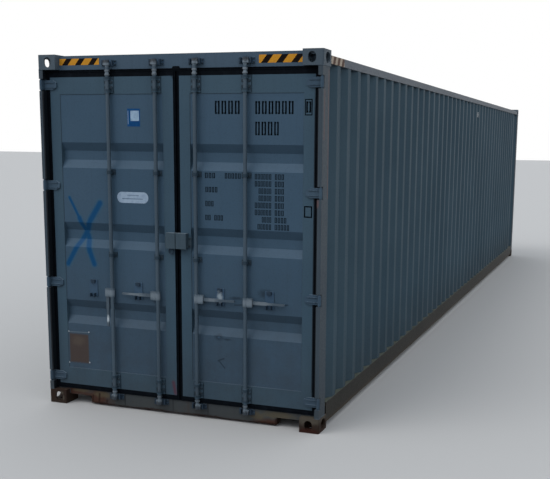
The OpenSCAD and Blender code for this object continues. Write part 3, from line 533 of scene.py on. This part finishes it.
bar_paint, tree, shader, place = weathered_paint(
    "locking_bar_paint", "#30404c", "#3c4c58", rust=0.35, soil=0.4, soil_top=0.4, gloss=0.42,
    specular=0.35)
bar_spots = [((0, 0, z), (0, 0, tall)) for z, tall in
             ((0.102, 0.045), (hub_z, 0.040), (high_cam_z, 0.040), (2.742, 0.020), (1.300, 0.012))]
worn_metal_and_glint(tree, shader, place, bar_spots, "#727c84", 0.6)
# Dark mottle at the cams and the brackets' ends: old grease, and painted shade between the cams
# and their keepers
old_grease_and_shade = [patch(tree, place, (0, 0, z), (0, 0, tall), 0.5, 0.9, 13) for z, tall in
              ((2.842, 0.026), (0.088, 0.032), *((z, 0.012) for z in bracket_ends))]
paint_over(tree, shader, old_grease_and_shade, "#141c25", 0.85)
give(bar_paint, "left_outer_bar", "left_inner_bar", "right_inner_bar", "right_outer_bar")

handle_paint, tree, shader, place = weathered_paint(
    "forged_handle_paint", "#33414c", "#424f59", rust=0.35, soil=0.0, gloss=0.4, specular=0.4)
handle_spots = [((0, y, z), (0, wide, tall)) for y, z, wide, tall in
                ((-0.390, hub_z, 0.11, 0.03), (0.310, hub_z, 0.06, 0.03),
                 (0.740, hub_z, 0.10, 0.03))]
worn_metal_and_glint(tree, shader, place, handle_spots, "#6c757c", 0.6)
# A painted highlight: the end of the hanging left grip goes near white, over worn bare metal
worn_metal_and_glint(tree, shader, place, [((0, -0.638, 0.765), (0, 0.04, 0.038))], "#a4adb2", 0.95)
give(handle_paint, "left_outer_handle", "left_inner_handle", "right_inner_handle",
     "right_outer_handle")

bracket_paint, tree, shader, place = weathered_paint(
    "bracket_paint", "#354957", "#435663", rust=0.4, soil=0.4, soil_top=0.4, gloss=0.45)
# Dark bands at the guides are oil; the dark mottle at the brackets' ends is painted shade with old
# grease
oil_and_shade = [patch(tree, place, (0, 0, z), (0, 0, 0.05), 0.2, 0.2, 30) for z in guide_heights]
oil_and_shade += [patch(tree, place, (0, 0, z), (0, 0, 0.014), 0.5, 0.8, 14) for z in bracket_ends]
paint_over(tree, shader, oil_and_shade, "#1b262f", 0.65)
give(bracket_paint, "left_bar_brackets", "right_bar_brackets")

gear_paint, tree, shader, place = weathered_paint(
    "door_gear_paint", "#33475a", "#3a4e60", rust=0.4, soil=0.5, soil_top=0.4, gloss=0.45)
out = add(tree, "ShaderNodeSeparateXYZ", links={0: place})
proud = add(tree, "ShaderNodeMapRange", {1: 6.0485, 2: 6.0505}, {0: out})
paint_over(tree, shader, [proud], "#1c2732", 0.75)
worn_metal_and_glint(tree, shader, place, [((0, 0.365, 1.01), (0, 0.03, 0.06))], "#8a949a", 0.85)
give(gear_paint, "left_handle_catches", "right_handle_catches", "cam_keepers")
print("painted parts:", len([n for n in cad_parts.values() if n.data.materials]))

# %% [markdown]
# ## Corner castings
#
# The castings are cast steel, welded into the frame and painted with it. The lower four stand on
# wet ground, and chains and twistlocks keep knocking the paint off, so they are almost all rust.
# Only the right one at the doors has kept pale primer on its upper half, over a lip of fresh,
# redder rust.

# %% Castings
top_cast = weathered_paint("painted_cast_steel", "#3f4a53", "#4a555d", rust=0.5, soil=0.0,
                           dust_and_top_light="#6b7075", dust_and_top_light_share=0.7)[0]
give(top_cast, "top_castings")

low_cast, tree, shader, place = weathered_paint(
    "rusted_cast_steel", "#24150f", "#2e1d15", rust=1.4, soil=0.6, soil_top=0.2, gloss=0.75,
    dust_and_top_light="#3b3029")
primer = [patch(tree, place, (6.09, 1.13, 0.105), (0.3, 0.12, 0.055), 0.5, 0.55, 35),
          patch(tree, place, (5.99, 1.22, 0.100), (0.08, 0.05, 0.045), 0.5, 0.6, 40),
          patch(tree, place, (6.09, -1.105, 0.090), (0.05, 0.026, 0.020), 0.6, 0.6, 22),
          patch(tree, place, (6.09, -1.085, 0.050), (0.05, 0.010, 0.030), 0.6, 0.6, 18)]
paint_over(tree, shader, primer, "#48433b", 0.85)
lip = patch(tree, place, (6.09, 1.13, 0.012), (0.3, 0.12, 0.030), 0.5, 0.5, 30)
paint_over(tree, shader, [lip], "#2c120c", 0.85)
give(low_cast, "bottom_castings")

# %% [markdown]
# ## Rubber, plywood and the ventilator covers
#
# The door seal is black EPDM rubber, matt, with a little dust. The floor is hardwood plywood of
# about 28 mm, in boards laid across the members and screwed down, scuffed by forklift wheels. The
# ventilator covers are moulded plastic that has bleached to a pale grey. Rubber, plastic, ink,
# labels and rivets share one plain finish: two tones in spots of one size.

# %% Rubber
def two_tone(name, tones, size_mm, roughness, specular, cut=(0.0, 1.0), share=1.0, detail=5,
             coarse=0.5):
    """A plain finish of two tones in spots of one size. The second starts where the noise
    passes the first value of cut, and reaches its share at the second value."""
    material, tree, shader, place = new_material(name, specular)
    spots = add(tree, "ShaderNodeTexNoise", {"Scale": waves(size_mm), "Detail": detail,
                                             "Roughness": coarse}, {"Vector": place})
    mask = add(tree, "ShaderNodeMapRange", {1: cut[0], 2: cut[1], 3: 0.0, 4: share}, {0: spots})
    tone = add(tree, "ShaderNodeMix", {6: linear(tones[0]), 7: linear(tones[1])}, {0: mask},
               data_type="RGBA")
    tree.links.new(tone.outputs[2], shader.inputs["Base Color"])
    shader.inputs["Roughness"].default_value = roughness
    return material


rubber = two_tone("epdm_rubber", ("#04080e", "#171c24"), 60, 0.75, 0.05, (0.5, 0.8), 0.5,
                  coarse=0.7)
give(rubber, "left_door_gasket", "right_door_gasket")

# %% Plywood
plywood, tree, shader, place = new_material("hardwood_plywood", 0.3)
along = add(tree, "ShaderNodeMapping", {"Scale": (0.06, 1, 1)}, {"Vector": place})
grain = add(tree, "ShaderNodeTexNoise", {"Scale": waves(9), "Detail": 6, "Roughness": 0.6,
                                         "Distortion": 0.4}, {"Vector": along})
wood = add(tree, "ShaderNodeMix", {6: linear("#4c3626"), 7: linear("#7a5c41")},
           {0: grain}, data_type="RGBA")
scuff = add(tree, "ShaderNodeTexNoise", {"Scale": waves(400), "Detail": 5, "Roughness": 0.7},
            {"Vector": along})
worn = add(tree, "ShaderNodeMapRange", {1: 0.45, 2: 0.7, 3: 0.0, 4: 0.7}, {0: scuff})
wood = add(tree, "ShaderNodeMix", {7: linear("#2e2620")},
           {0: worn, 6: wood.outputs[2]}, data_type="RGBA")
seat = add(tree, "ShaderNodeTexBrick", {
    "Scale": 1.0, "Mortar Size": 0.004, "Brick Width": 2.4, "Row Height": 1.16,
    "Color1": linear("#ffffff"), "Color2": linear("#d8d8d8"), "Mortar": linear("#050505")},
    {"Vector": place}, offset=0.0)
wood = add(tree, "ShaderNodeMix", {0: 1.0}, {6: wood.outputs[2], 7: seat},
           data_type="RGBA", blend_type="MULTIPLY")
tree.links.new(wood.outputs[2], shader.inputs["Base Color"])
shader.inputs["Roughness"].default_value = 0.7
dips = add(tree, "ShaderNodeBump", {"Strength": 0.3, "Distance": 0.001}, {"Height": grain})
tree.links.new(dips.outputs[0], shader.inputs["Normal"])
give(plywood, "floor_boards")

# %% Moulded plastic
vent_plastic = two_tone("moulded_grey_plastic", ("#4f585e", "#6a7276"), 80, 0.55, 0.35, detail=4)
give(vent_plastic, "ventilators")

# %% [markdown]
# ## Helpers for new pieces
#
# A piece starts as a bmesh, Blender's mesh in memory. When its shape is done, its doubles are
# merged and its faces turned outwards, and it becomes an object at the origin, parented to the
# empty named after one of the CAD bodies, which is made when it is missing. Rounding edges and
# raising a face into a plate come back in many pieces, so each is a function.

# %% Turn a bmesh into a piece
def piece(name, bm, material, body):
    """A finished object from a bmesh, riding on a CAD body."""
    bmesh.ops.remove_doubles(bm, verts=bm.verts, dist=1e-6)
    bmesh.ops.recalc_face_normals(bm, faces=bm.faces)
    mesh = bpy.data.meshes.new(name)
    bm.to_mesh(mesh)
    bm.free()
    mesh.materials.append(material)
    made = bpy.data.objects.new(name, mesh)
    bpy.context.scene.collection.objects.link(made)
    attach(made, body)
    print(f"{name}: {len(mesh.polygons)} faces")
    return made


def round_edges(bm, edges, offset):
    """Bevels edges in two segments to a round profile, and returns the new vertices."""
    return bmesh.ops.bevel(bm, geom=list(edges), offset=offset, offset_type="OFFSET", segments=2,
                           profile=0.5, affect="EDGES", material=-1, clamp_overlap=True)["verts"]


def raise_faces(bm, faces, by):
    """Extrudes faces, moves the new ones out by a distance and returns their vertices."""
    raised = bmesh.ops.extrude_face_region(bm, geom=faces)["geom"]
    tops = [v for v in raised if isinstance(v, bmesh.types.BMVert)]
    bmesh.ops.translate(bm, verts=tops, vec=(by, 0, 0))
    return tops


def block(bm, low, high, soft=0):
    """Adds a box between two corners, with edges rounded by soft, and returns its vertices."""
    size = Vector(high) - Vector(low)
    middle = (Vector(high) + Vector(low)) / 2
    made = bmesh.ops.create_cube(
        bm, size=1, matrix=Matrix.Translation(middle) @ Matrix.Diagonal((*size, 1)))["verts"]
    if soft:
        made = round_edges(bm, {e for v in made for e in v.link_edges}, soft)
    return made


# %% [markdown]
# ## Bolts
#
# The bar brackets and guides are held by hexagon bolts, four to a long bracket and two to a
# guide. A hexagon head is a six-sided cone with equal ends, its outer edges bevelled, on a thin
# round washer. The heads are drawn from their width across flats, M10 on the brackets and M8 on
# the guides and keepers.

# %% Place the bolts
face_out = Matrix.Rotation(math.pi / 2, 4, "Y")


def bolt(bm, x, y, z, across=0.017):
    """A washer and a hexagon head on a surface that faces out of the door end."""
    washer_r, washer_t, head_t = across * 0.72, 0.002, across * 0.42
    bmesh.ops.create_cone(bm, cap_ends=True, segments=20, radius1=washer_r, radius2=washer_r,
                          depth=washer_t,
                          matrix=Matrix.Translation((x + washer_t / 2, y, z)) @ face_out)
    centre = x + washer_t + head_t / 2
    head = bmesh.ops.create_cone(
        bm, cap_ends=True, segments=6, radius1=across / math.sqrt(3),
        radius2=across / math.sqrt(3), depth=head_t,
        matrix=Matrix.Translation((centre, y, z)) @ face_out)["verts"]
    rim = {e for v in head for e in v.link_edges if all(w.co.x > centre for w in e.verts)}
    round_edges(bm, rim, 0.0012)


bolt_steel = weathered_paint("painted_bolt_steel", "#222d36", "#2f3a43", rust=1.0, soil=0.0,
                             gloss=0.45)[0]
bracket_middles = (leaf_low[2] + 0.064, leaf_high[2] - 0.064)
for side, sign in sides:
    bm = bmesh.new()
    for bar_y in bar_places:
        for dy in (-0.027, 0.027):
            for centre_z in bracket_middles:
                for dz in (-0.021, 0.021):
                    bolt(bm, door_face_x + 0.008, sign * bar_y + dy, centre_z + dz)
            for guide_z in guide_heights:
                bolt(bm, panel_face_x + 0.008, sign * bar_y + dy * 1.12, guide_z, 0.013)
    piece(f"{side}_door_bolts", bm, bolt_steel, f"{side}_door")

# %% [markdown]
# ## Keeper plates and bar rings
#
# The ears that catch a bar's cams stand on a plate, welded to the header or the sill and held by
# four bolts. Just inside each plate a ring is fixed round the bar, so that the bar can't slide
# up or down. The rings rub on the collars, so their metal is bare.

# %% Keeper plates
bm = bmesh.new()
bolts = bmesh.new()
for sign in (-1, 1):
    for bar_y in bar_places:
        for face_x, middle in ((sill_face_x, low_cam_z), (header_face_x, high_cam_z)):
            y = sign * bar_y
            block(bm, (face_x - 0.001, y - 0.066, middle - 0.024),
                  (face_x + 0.005, y + 0.066, middle + 0.024), 0.0015)
            for dy in (-0.057, 0.057):
                for dz in (-0.014, 0.014):
                    bolt(bolts, face_x + 0.005, y + dy, middle + dz, 0.011)
piece("keeper_plates", bm, gear_paint, "container")
piece("keeper_bolts", bolts, bolt_steel, "container")

# %% Bar rings
ring_metal = weathered_paint("worn_ring_steel", "#4a545c", "#69727a", rust=0.5, soil=0.0,
                             gloss=0.38, specular=0.4)[0]
for side, sign in sides:
    for where, bar_y in zip(("inner", "outer"), bar_places):
        bm = bmesh.new()
        for z in (leaf_low[2] - 0.018, leaf_high[2] + 0.014, leaf_high[2] + 0.044):
            made = bmesh.ops.create_cone(
                bm, cap_ends=True, segments=24, radius1=0.0195, radius2=0.0195, depth=0.014,
                matrix=Matrix.Translation((bar_x, sign * bar_y, z)))["verts"]
            rim = {e for v in made for e in v.link_edges
                   if abs(e.verts[0].co.z - e.verts[1].co.z) < 1e-6}
            round_edges(bm, rim, 0.002)
        piece(f"{side}_{where}_bar_rings", bm, ring_metal, f"{side}_{where}_bar")

# %% [markdown]
# ## Lips of the door seal
#
# The seal is an extrusion with two soft lips that fold against the frame. From outside they show
# as a raised line all round each leaf. A rectangle of four corners, inset to a ring and then
# extruded, makes such a frame, and a bevel rounds its front edges.

# %% Rubber lips
def ring(bm, x, low, high, width, rise):
    """A rectangular frame that rises from a plane facing out. Returns its upper vertices."""
    corners = [bm.verts.new((x, y, z)) for y, z in (
        (low[0], low[1]), (high[0], low[1]), (high[0], high[1]), (low[0], high[1]))]
    sheet = bm.faces.new(corners)
    sheet.normal_update()
    inset = bmesh.ops.inset_region(bm, faces=[sheet], thickness=width, depth=0,
                                   use_boundary=True, use_even_offset=True)["faces"]
    bmesh.ops.delete(bm, geom=[sheet], context="FACES")
    return raise_faces(bm, inset, rise)


for side, sign in sides:
    bm = bmesh.new()
    seal_x = gasket_high[0] - 0.0005
    for gap, width, rise in ((0.0015, 0.005, 0.006), (0.0165, 0.004, 0.004)):
        ys = sorted([sign * (gasket_low[1] + gap), sign * (gasket_high[1] - gap)])
        tops = ring(bm, seal_x, (ys[0], gasket_low[2] + gap), (ys[1], gasket_high[2] - gap),
                    width, rise)
        rim = {e for v in tops for e in v.link_edges if all(w in tops for w in e.verts)
               and e.calc_face_angle(0) > 1}
        round_edges(bm, rim, rise * 0.4)
    piece(f"{side}_seal_lips", bm, rubber, f"{side}_door")

# %% The flap over the seam
bm = bmesh.new()
flap = block(bm, (gasket_high[0] - 0.002, -0.044, 2.758), (gasket_high[0] + 0.002, 0.044, 2.793))
for v in flap:
    if v.co.z > 2.78:
        v.co.y *= 0.6
round_edges(bm, {e for v in flap for e in v.link_edges}, 0.0012)
piece("seam_flap", bm, rubber, "right_door")

# %% [markdown]
# ## Weld beads
#
# Everything here is joined by arc welding, and a bead is a row of overlapping ripples, each a
# little cone. The beads are some 7 mm wide. One material serves them all: paint over steel that
# rusts sooner there, because weld metal holds the paint badly.

# %% Beads along lines
def bead(bm, start, end, radius=0.0035, step=0.016):
    """A weld bead: a row of short cones from one point to another."""
    start, along = Vector(start), Vector(end) - Vector(start)
    count = max(2, round(along.length / step))
    turn = along.to_track_quat("Z", "Y").to_matrix().to_4x4()
    for i in range(count):
        bmesh.ops.create_cone(bm, cap_ends=True, segments=6, radius1=radius,
                              radius2=radius * 0.72, depth=along.length / count,
                              matrix=Matrix.Translation(start + along * (i + 0.5) / count) @ turn)


bead_paint = weathered_paint("painted_weld_bead", "#34424d", "#43515b", rust=0.9, soil=0.4,
                             soil_top=0.4)[0]
casting_in_y, casting_in_x = 1.057, 5.918
bm = bmesh.new()
for sign in (-1, 1):
    for z in (0.118, 2.778):
        bead(bm, (post_high[0], sign * post_in, z), (post_high[0], sign * post_high[1], z))
        bead(bm, (post_low[0], sign * post_high[1], z), (post_high[0], sign * post_high[1], z))
    bead(bm, (header_face_x, sign * casting_in_y, 2.780),
         (header_face_x, sign * casting_in_y, 2.886))
    bead(bm, (sill_face_x, sign * casting_in_y, 0.080), (sill_face_x, sign * casting_in_y, 0.117))
    bead(bm, (casting_in_x, sign * side_face_y, 2.801), (casting_in_x, sign * side_face_y, 2.859))
    bead(bm, (casting_in_x, sign * side_face_y, 0.048), (casting_in_x, sign * side_face_y, 0.117))
    bead(bm, (post_low[0], sign * 1.2125, 0.210), (post_low[0], sign * 1.2125, 2.776))
piece("frame_weld_beads", bm, bead_paint, "container")

# %% [markdown]
# ## The seam round each door panel
#
# The pressed panel is welded into its frame all round and sealed with a fine line of compound.
# At the troughs the panel steps back, so the bead down its sides stops there.

# %% Panel beads
first_top, trough_pitch, trough_h = 2.203, 0.651, 0.205
trough_ends = [(first_top - trough_pitch * i - trough_h, first_top - trough_pitch * i)
               for i in range(3)]
flat_ends = [panel_low[2]] + [z for low_high in reversed(trough_ends) for z in low_high]
flat_ends.append(panel_high[2])
for side, sign in sides:
    bm = bmesh.new()
    for z in (panel_low[2], panel_high[2]):
        bead(bm, (panel_face_x, sign * panel_low[1], z), (panel_face_x, sign * panel_high[1], z))
    for y in (panel_low[1], panel_high[1]):
        for low, high in zip(flat_ends[::2], flat_ends[1::2]):
            bead(bm, (panel_face_x, sign * y, low + 0.004), (panel_face_x, sign * y, high - 0.004))
    piece(f"{side}_panel_beads", bm, bead_paint, f"{side}_door")

# %% [markdown]
# ## Height marks
#
# A container taller than eight feet carries yellow and black stripes beside its top castings.
# They are vinyl film, here a box of 0.6 mm. The stripes are one fraction of a metre
# counted along a slanted direction: Object coordinates give the distance, and a modulo cuts it.
# The film round the corner, on the right side rail, has bleached and flaked to brown and tan.

# %% Striped film
def striped_film(name, along, slant, start, pitch, dark_share, light, dark, wear, worn_to):
    """Vinyl film with slanted stripes, counted along one direction in the plane of the film."""
    material, tree, shader, place = new_material(name, 0.08)
    run = add(tree, "ShaderNodeVectorMath", {1: (along[0], along[1], slant)}, {0: place},
              operation="DOT_PRODUCT")
    count = add(tree, "ShaderNodeMath", {1: 1 / pitch, 2: -start / pitch},
                {0: run.outputs["Value"]}, operation="MULTIPLY_ADD")
    part = add(tree, "ShaderNodeMath", {1: 1.0}, {0: count}, operation="FLOORED_MODULO")
    band = add(tree, "ShaderNodeMapRange", {1: dark_share + 0.02, 2: dark_share - 0.02, 3: 0.0,
                                            4: 1.0}, {0: part})
    film = add(tree, "ShaderNodeMix", {6: linear(light), 7: linear(dark)},
               {0: band}, data_type="RGBA")
    fade = add(tree, "ShaderNodeTexNoise", {"Scale": waves(30), "Detail": 6, "Roughness": 0.7},
               {"Vector": place})
    thin = add(tree, "ShaderNodeMapRange", {1: 0.5, 2: 0.85, 3: 0.0, 4: wear}, {0: fade})
    worn = add(tree, "ShaderNodeMix", {7: linear(worn_to)},
               {0: thin, 6: film.outputs[2]}, data_type="RGBA")
    tree.links.new(worn.outputs[2], shader.inputs["Base Color"])
    shader.inputs["Roughness"].default_value = 0.5
    return material


film_t = 0.0006
end_marks = {"left": (-1.058, -0.686, 2.815, 2.866, -1.030),
             "right": (0.690, 1.038, 2.805, 2.865, 0.705)}
for side, (y0, y1, z0, z1, first) in end_marks.items():
    film = striped_film(f"{side}_striped_vinyl_film", (0, 1), -0.80, first - 0.80 * z0, 0.121,
                        0.44, "#b67d22", "#080201", 0.35, "#2e1d12")
    bm = bmesh.new()
    block(bm, (header_face_x, y0, z0), (header_face_x + film_t, y1, z1))
    piece(f"{side}_end_height_mark", bm, film, "container")
side_film = striped_film("bleached_striped_film", (1, 0), 0.5, 5.60 + 0.5 * 2.8, 0.108, 0.52,
                         "#978979", "#452a1b", 0.8, "#5f4531")
for side, sign in sides:
    bm = bmesh.new()
    ys = sorted([sign * side_face_y, sign * (side_face_y + film_t)])
    block(bm, (5.58, ys[0], 2.8005), (5.912, ys[1], 2.8595))
    piece(f"{side}_side_height_mark", bm, side_film, "container")

# %% [markdown]
# ## Stencilled marks on the right leaf
#
# A container's number and weights are sprayed through stencils. This model is nobody's, so it
# carries none: each place for a letter or figure gets a blank box, in the two halves that a
# stencil leaves, with its bridges open at the top and bottom. The boxes keep the size, the
# stroke and the rows of real ones, and lie less than half a millimetre proud of the paint.

# %% Blank stencil boxes
ink = two_tone("stencil_ink", ("#02070d", "#24323f"), 25, 0.7, 0.03, (0.5, 0.85), 0.6, coarse=0.75)
ink_t = 0.0004


def stencil(bm, x, y_from, y_to, z_low, z_high, count):
    """A row of blank boxes, each in two halves with open bridges."""
    pitch = (y_to - y_from) / count
    width = pitch * 0.72
    line = width * 0.34
    stub = (width * 0.86 - 2 * line) / 2
    for i in range(count):
        left = y_from + pitch * i + (pitch - width) / 2
        parts = [(left, left + line, z_low, z_high),
                 (left + width - line, left + width, z_low, z_high)]
        for z0, z1 in ((z_low, z_low + line), (z_high - line, z_high)):
            parts.append((left + line, left + line + stub, z0, z1))
            parts.append((left + width - line - stub, left + width - line, z0, z1))
        for y0, y1, z0, z1 in parts:
            block(bm, (x, y0, z0), (x + ink_t, y1, z1))


bm = bmesh.new()
for y0, y1, z0, z1, count in ((0.321, 0.543, 2.430, 2.530, 4), (0.656, 0.978, 2.430, 2.526, 6),
                              (0.656, 0.861, 2.273, 2.374, 4)):
    stencil(bm, panel_face_x, y0, y1, z0, z1, count)
first_row, row_pitch, row_h = 1.984, 0.0545, 0.042
rows = (((0.236, 0.331, 3), (0.406, 0.546, 5), (0.657, 0.798, 6), (0.821, 0.901, 3)),
        ((0.657, 0.798, 6), (0.821, 0.901, 3)),
        ((0.240, 0.349, 4), (0.689, 0.798, 5), (0.821, 0.901, 3)),
        ((0.689, 0.798, 5), (0.821, 0.901, 3)),
        ((0.239, 0.315, 3), (0.657, 0.798, 6), (0.821, 0.901, 3)),
        ((0.657, 0.798, 6), (0.821, 0.901, 3)),
        ((0.238, 0.289, 2), (0.315, 0.395, 3), (0.716, 0.798, 4), (0.821, 0.922, 4)),
        ((0.680, 0.798, 5), (0.821, 0.945, 5)))
for i, words in enumerate(rows):
    top = first_row - row_pitch * i
    for y0, y1, count in words:
        stencil(bm, panel_face_x, y0, y1, top - row_h, top, count)
piece("stencil_boxes", bm, ink, "right_door")

# %% Outlined stencil squares on the stile
bm = bmesh.new()
for low, high, line in (((1.061, 2.420), (1.121, 2.540), 0.008),
                        ((1.062, 1.665), (1.127, 1.753), 0.010)):
    ring(bm, door_face_x, low, high, line, ink_t)
stencil(bm, door_face_x, 1.064, 1.118, 2.440, 2.522, 1)
piece("stencil_squares", bm, ink, "right_door")

# %% [markdown]
# ## Labels on the left leaf
#
# Two vinyl labels sit on the left leaf, a blue one with a pale square and a long pale one with
# round ends. Both are left blank. The round-ended one starts as a circle: the half to the right
# of the middle is moved right and the other half left, and the outline is then a stadium.

# %% Label vinyl
def label_vinyl(name, colour, worn):
    """Printed vinyl film, satin, that has gone dull and dirty in spots."""
    return two_tone(name, (colour, worn), 35, 0.45, 0.1, (0.42, 0.75), coarse=0.65)


blue_vinyl = label_vinyl("blue_label_vinyl", "#003765", "#0a4470")
pale_vinyl = label_vinyl("pale_label_vinyl", "#8ba0b4", "#6d849a")
bm = bmesh.new()
block(bm, (panel_face_x, -0.437, 2.333), (panel_face_x + film_t, -0.322, 2.472))
piece("blue_label", bm, blue_vinyl, "left_door")
bm = bmesh.new()
top_x = panel_face_x + film_t
block(bm, (top_x, -0.407, 2.376), (top_x + film_t / 2, -0.331, 2.456))
block(bm, (top_x, -0.431, 2.350), (top_x + film_t / 2, -0.427, 2.456))
piece("blue_label_square", bm, pale_vinyl, "left_door")

# %% Round-ended label
oval_vinyl = label_vinyl("oval_label_vinyl", "#8c9cac", "#73859a")
line_vinyl = label_vinyl("oval_label_line", "#5c6f80", "#4c5f70")
bm = bmesh.new()
middle_y, middle_z, half_w, half_h = -0.403, 1.7705, 0.142, 0.0445
disc = bmesh.ops.create_circle(
    bm, cap_ends=True, segments=48, radius=half_h,
    matrix=Matrix.Translation((panel_face_x, middle_y, middle_z)) @ face_out)["verts"]
for way in (-1, 1):
    bmesh.ops.translate(bm, verts=[v for v in disc if (v.co.y - middle_y) * way > 1e-5],
                        vec=(0, way * (half_w - half_h), 0))
raise_faces(bm, bm.faces[:], film_t)
piece("oval_label", bm, oval_vinyl, "left_door")
bm = bmesh.new()
for y0, y1, z0, z1 in ((-0.455, -0.345, 1.786, 1.791), (-0.500, -0.310, 1.757, 1.764)):
    block(bm, (top_x, y0, z0), (top_x + film_t / 2, y1, z1))
piece("oval_label_lines", bm, line_vinyl, "left_door")

# %% [markdown]
# ## Rivets of the lost plate
#
# The plate has gone, but its four blind rivets are still in the panel. A rivet head is half a
# sphere pressed flat: an icosphere cut by a plane and scaled along its axis.

# %% Rivets
rivet_alloy = two_tone("aluminium_rivet", ("#6f777d", "#a2a7aa"), 4, 0.45, 0.5, detail=3)
bm = bmesh.new()
for y, z in ((-1.047, 0.622), (-0.850, 0.628), (-1.050, 0.352), (-0.850, 0.366)):
    head = bmesh.ops.create_icosphere(
        bm, subdivisions=2, radius=0.0065, matrix=Matrix.Translation((panel_face_x, y, z))
        @ Matrix.Diagonal((0.5, 1, 1, 1)))["verts"]
    near = {f for v in head for f in v.link_faces}
    cut = bmesh.ops.bisect_plane(
        bm, geom=[*head, *near, *{e for v in head for e in v.link_edges}],
        plane_co=(panel_face_x - 0.0005, 0, 0), plane_no=(1, 0, 0), clear_inner=True)
    bmesh.ops.contextual_create(
        bm, geom=[e for e in cut["geom_cut"] if isinstance(e, bmesh.types.BMEdge)])
piece("plate_rivets", bm, rivet_alloy, "left_door")

# %% [markdown]
# ## Fittings of the lock box
#
# The box over the seam is bolted to each leaf through its flange, and a small steel eye hangs
# below it for a seal. The eye is a torus: a small circle spun once round an axis.

# %% Bolts and the eye
lock_low, lock_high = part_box("right_lock_half")
flange_y = lock_high[1] - 0.014
left_flange_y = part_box("left_lock_half")[0][1] + 0.014
for side, y in (("left", left_flange_y), ("right", flange_y)):
    bm = bmesh.new()
    for z in (1.403, 1.462):
        bolt(bm, door_face_x + 0.004, y, z, 0.013)
    piece(f"{side}_lock_bolts", bm, bolt_steel, f"{side}_door")

bm = bmesh.new()
eye_at = Vector((door_face_x + 0.024, -0.048, lock_low[2] - 0.024))
bmesh.ops.create_circle(bm, segments=10, radius=0.0055,
                        matrix=Matrix.Translation(eye_at + Vector((0, 0.020, 0))))
bmesh.ops.spin(bm, geom=bm.verts[:] + bm.edges[:], cent=eye_at, axis=(1, 0, 0),
               dvec=(0, 0, 0), angle=math.tau, steps=24, use_merge=True)
block(bm, (eye_at.x - 0.003, eye_at.y - 0.014, eye_at.z + 0.018),
      (eye_at.x + 0.003, eye_at.y + 0.014, lock_low[2] + 0.002), 0.001)
piece("seal_eye", bm, gear_paint, "left_door")

# %% [markdown]
# ## Screws of the ventilator covers
#
# Each cover is held by a screw at each corner. At this size a flat cone is enough
# for the round head.

# %% Cover screws
vent_low, vent_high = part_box("ventilators")
bm = bmesh.new()
middle_x, face_y = (vent_low[0] + vent_high[0]) / 2, vent_high[1]
for sign in (-1, 1):
    out = Matrix.Rotation(-sign * math.pi / 2, 4, "X")
    for dx in (-0.055, 0.055):
        for z in (vent_low[2] + 0.014, vent_high[2] - 0.014):
            bmesh.ops.create_cone(
                bm, cap_ends=True, segments=12, radius1=0.006, radius2=0.0035, depth=0.004,
                matrix=Matrix.Translation((middle_x + dx, sign * (face_y + 0.0015), z)) @ out)
piece("ventilator_screws", bm, bolt_steel, "container")

# %% [markdown]
# ## The floor and the light
#
# A large pale floor takes the object's shadow. The light is plain: an even bright sky and one
# wide soft lamp, set so that a colour renders about as it is written. For the camera, and for
# reflections, the world is white, so that the background stays clean. The floor is pale there
# too, and a mid grey for the light that it throws back up, as the ground outdoors is, so that
# what faces down stays dark.

# %% Floor
bm = bmesh.new()
bmesh.ops.create_grid(bm, x_segments=1, y_segments=1, size=120)
floor_mesh = bpy.data.meshes.new("floor")
bm.to_mesh(floor_mesh)
bm.free()
floor = bpy.data.objects.new("floor", floor_mesh)
bpy.context.scene.collection.objects.link(floor)


def seen_directly(tree):
    """1 for what the camera sees, and for reflections and glass, 0 for scattered light."""
    path = add(tree, "ShaderNodeLightPath")
    either = add(tree, "ShaderNodeMath", links={0: path.outputs["Is Camera Ray"],
                                                1: path.outputs["Is Glossy Ray"]},
                 operation="MAXIMUM")
    return add(tree, "ShaderNodeMath", links={0: either, 1: path.outputs["Is Transmission Ray"]},
               operation="MAXIMUM")


floor_finish, tree, shader, place = new_material("pale_floor")
tone = add(tree, "ShaderNodeMix", {6: linear("#625f5c"), 7: linear("#a3a19f")},
           {0: seen_directly(tree)}, data_type="RGBA")
tree.links.new(tone.outputs[2], shader.inputs["Base Color"])
shader.inputs["Roughness"].default_value = 0.9
floor_mesh.materials.append(floor_finish)

# %% Sky and lamp
world = bpy.data.worlds.new("world")
bpy.context.scene.world = world
world.use_nodes = True
tree = world.node_tree
tree.nodes.clear()
sky = add(tree, "ShaderNodeBackground", {"Color": linear("#eaf2fb"), "Strength": 1.4})
seen = add(tree, "ShaderNodeBackground", {"Color": linear("#ffffff"), "Strength": 1.0})
both = add(tree, "ShaderNodeMixShader", links={0: seen_directly(tree), 1: sky, 2: seen})
add(tree, "ShaderNodeOutputWorld", links={"Surface": both})

sun = bpy.data.lights.new("soft_sun", "SUN")
sun.energy = 1.05
sun.angle = math.radians(35)
lamp = bpy.data.objects.new("soft_sun", sun)
lamp.rotation_euler = Vector((-0.50, 0.42, -0.85)).to_track_quat("-Z", "Y").to_euler()
bpy.context.scene.collection.objects.link(lamp)
bpy.context.scene.view_settings.view_transform = "Standard"
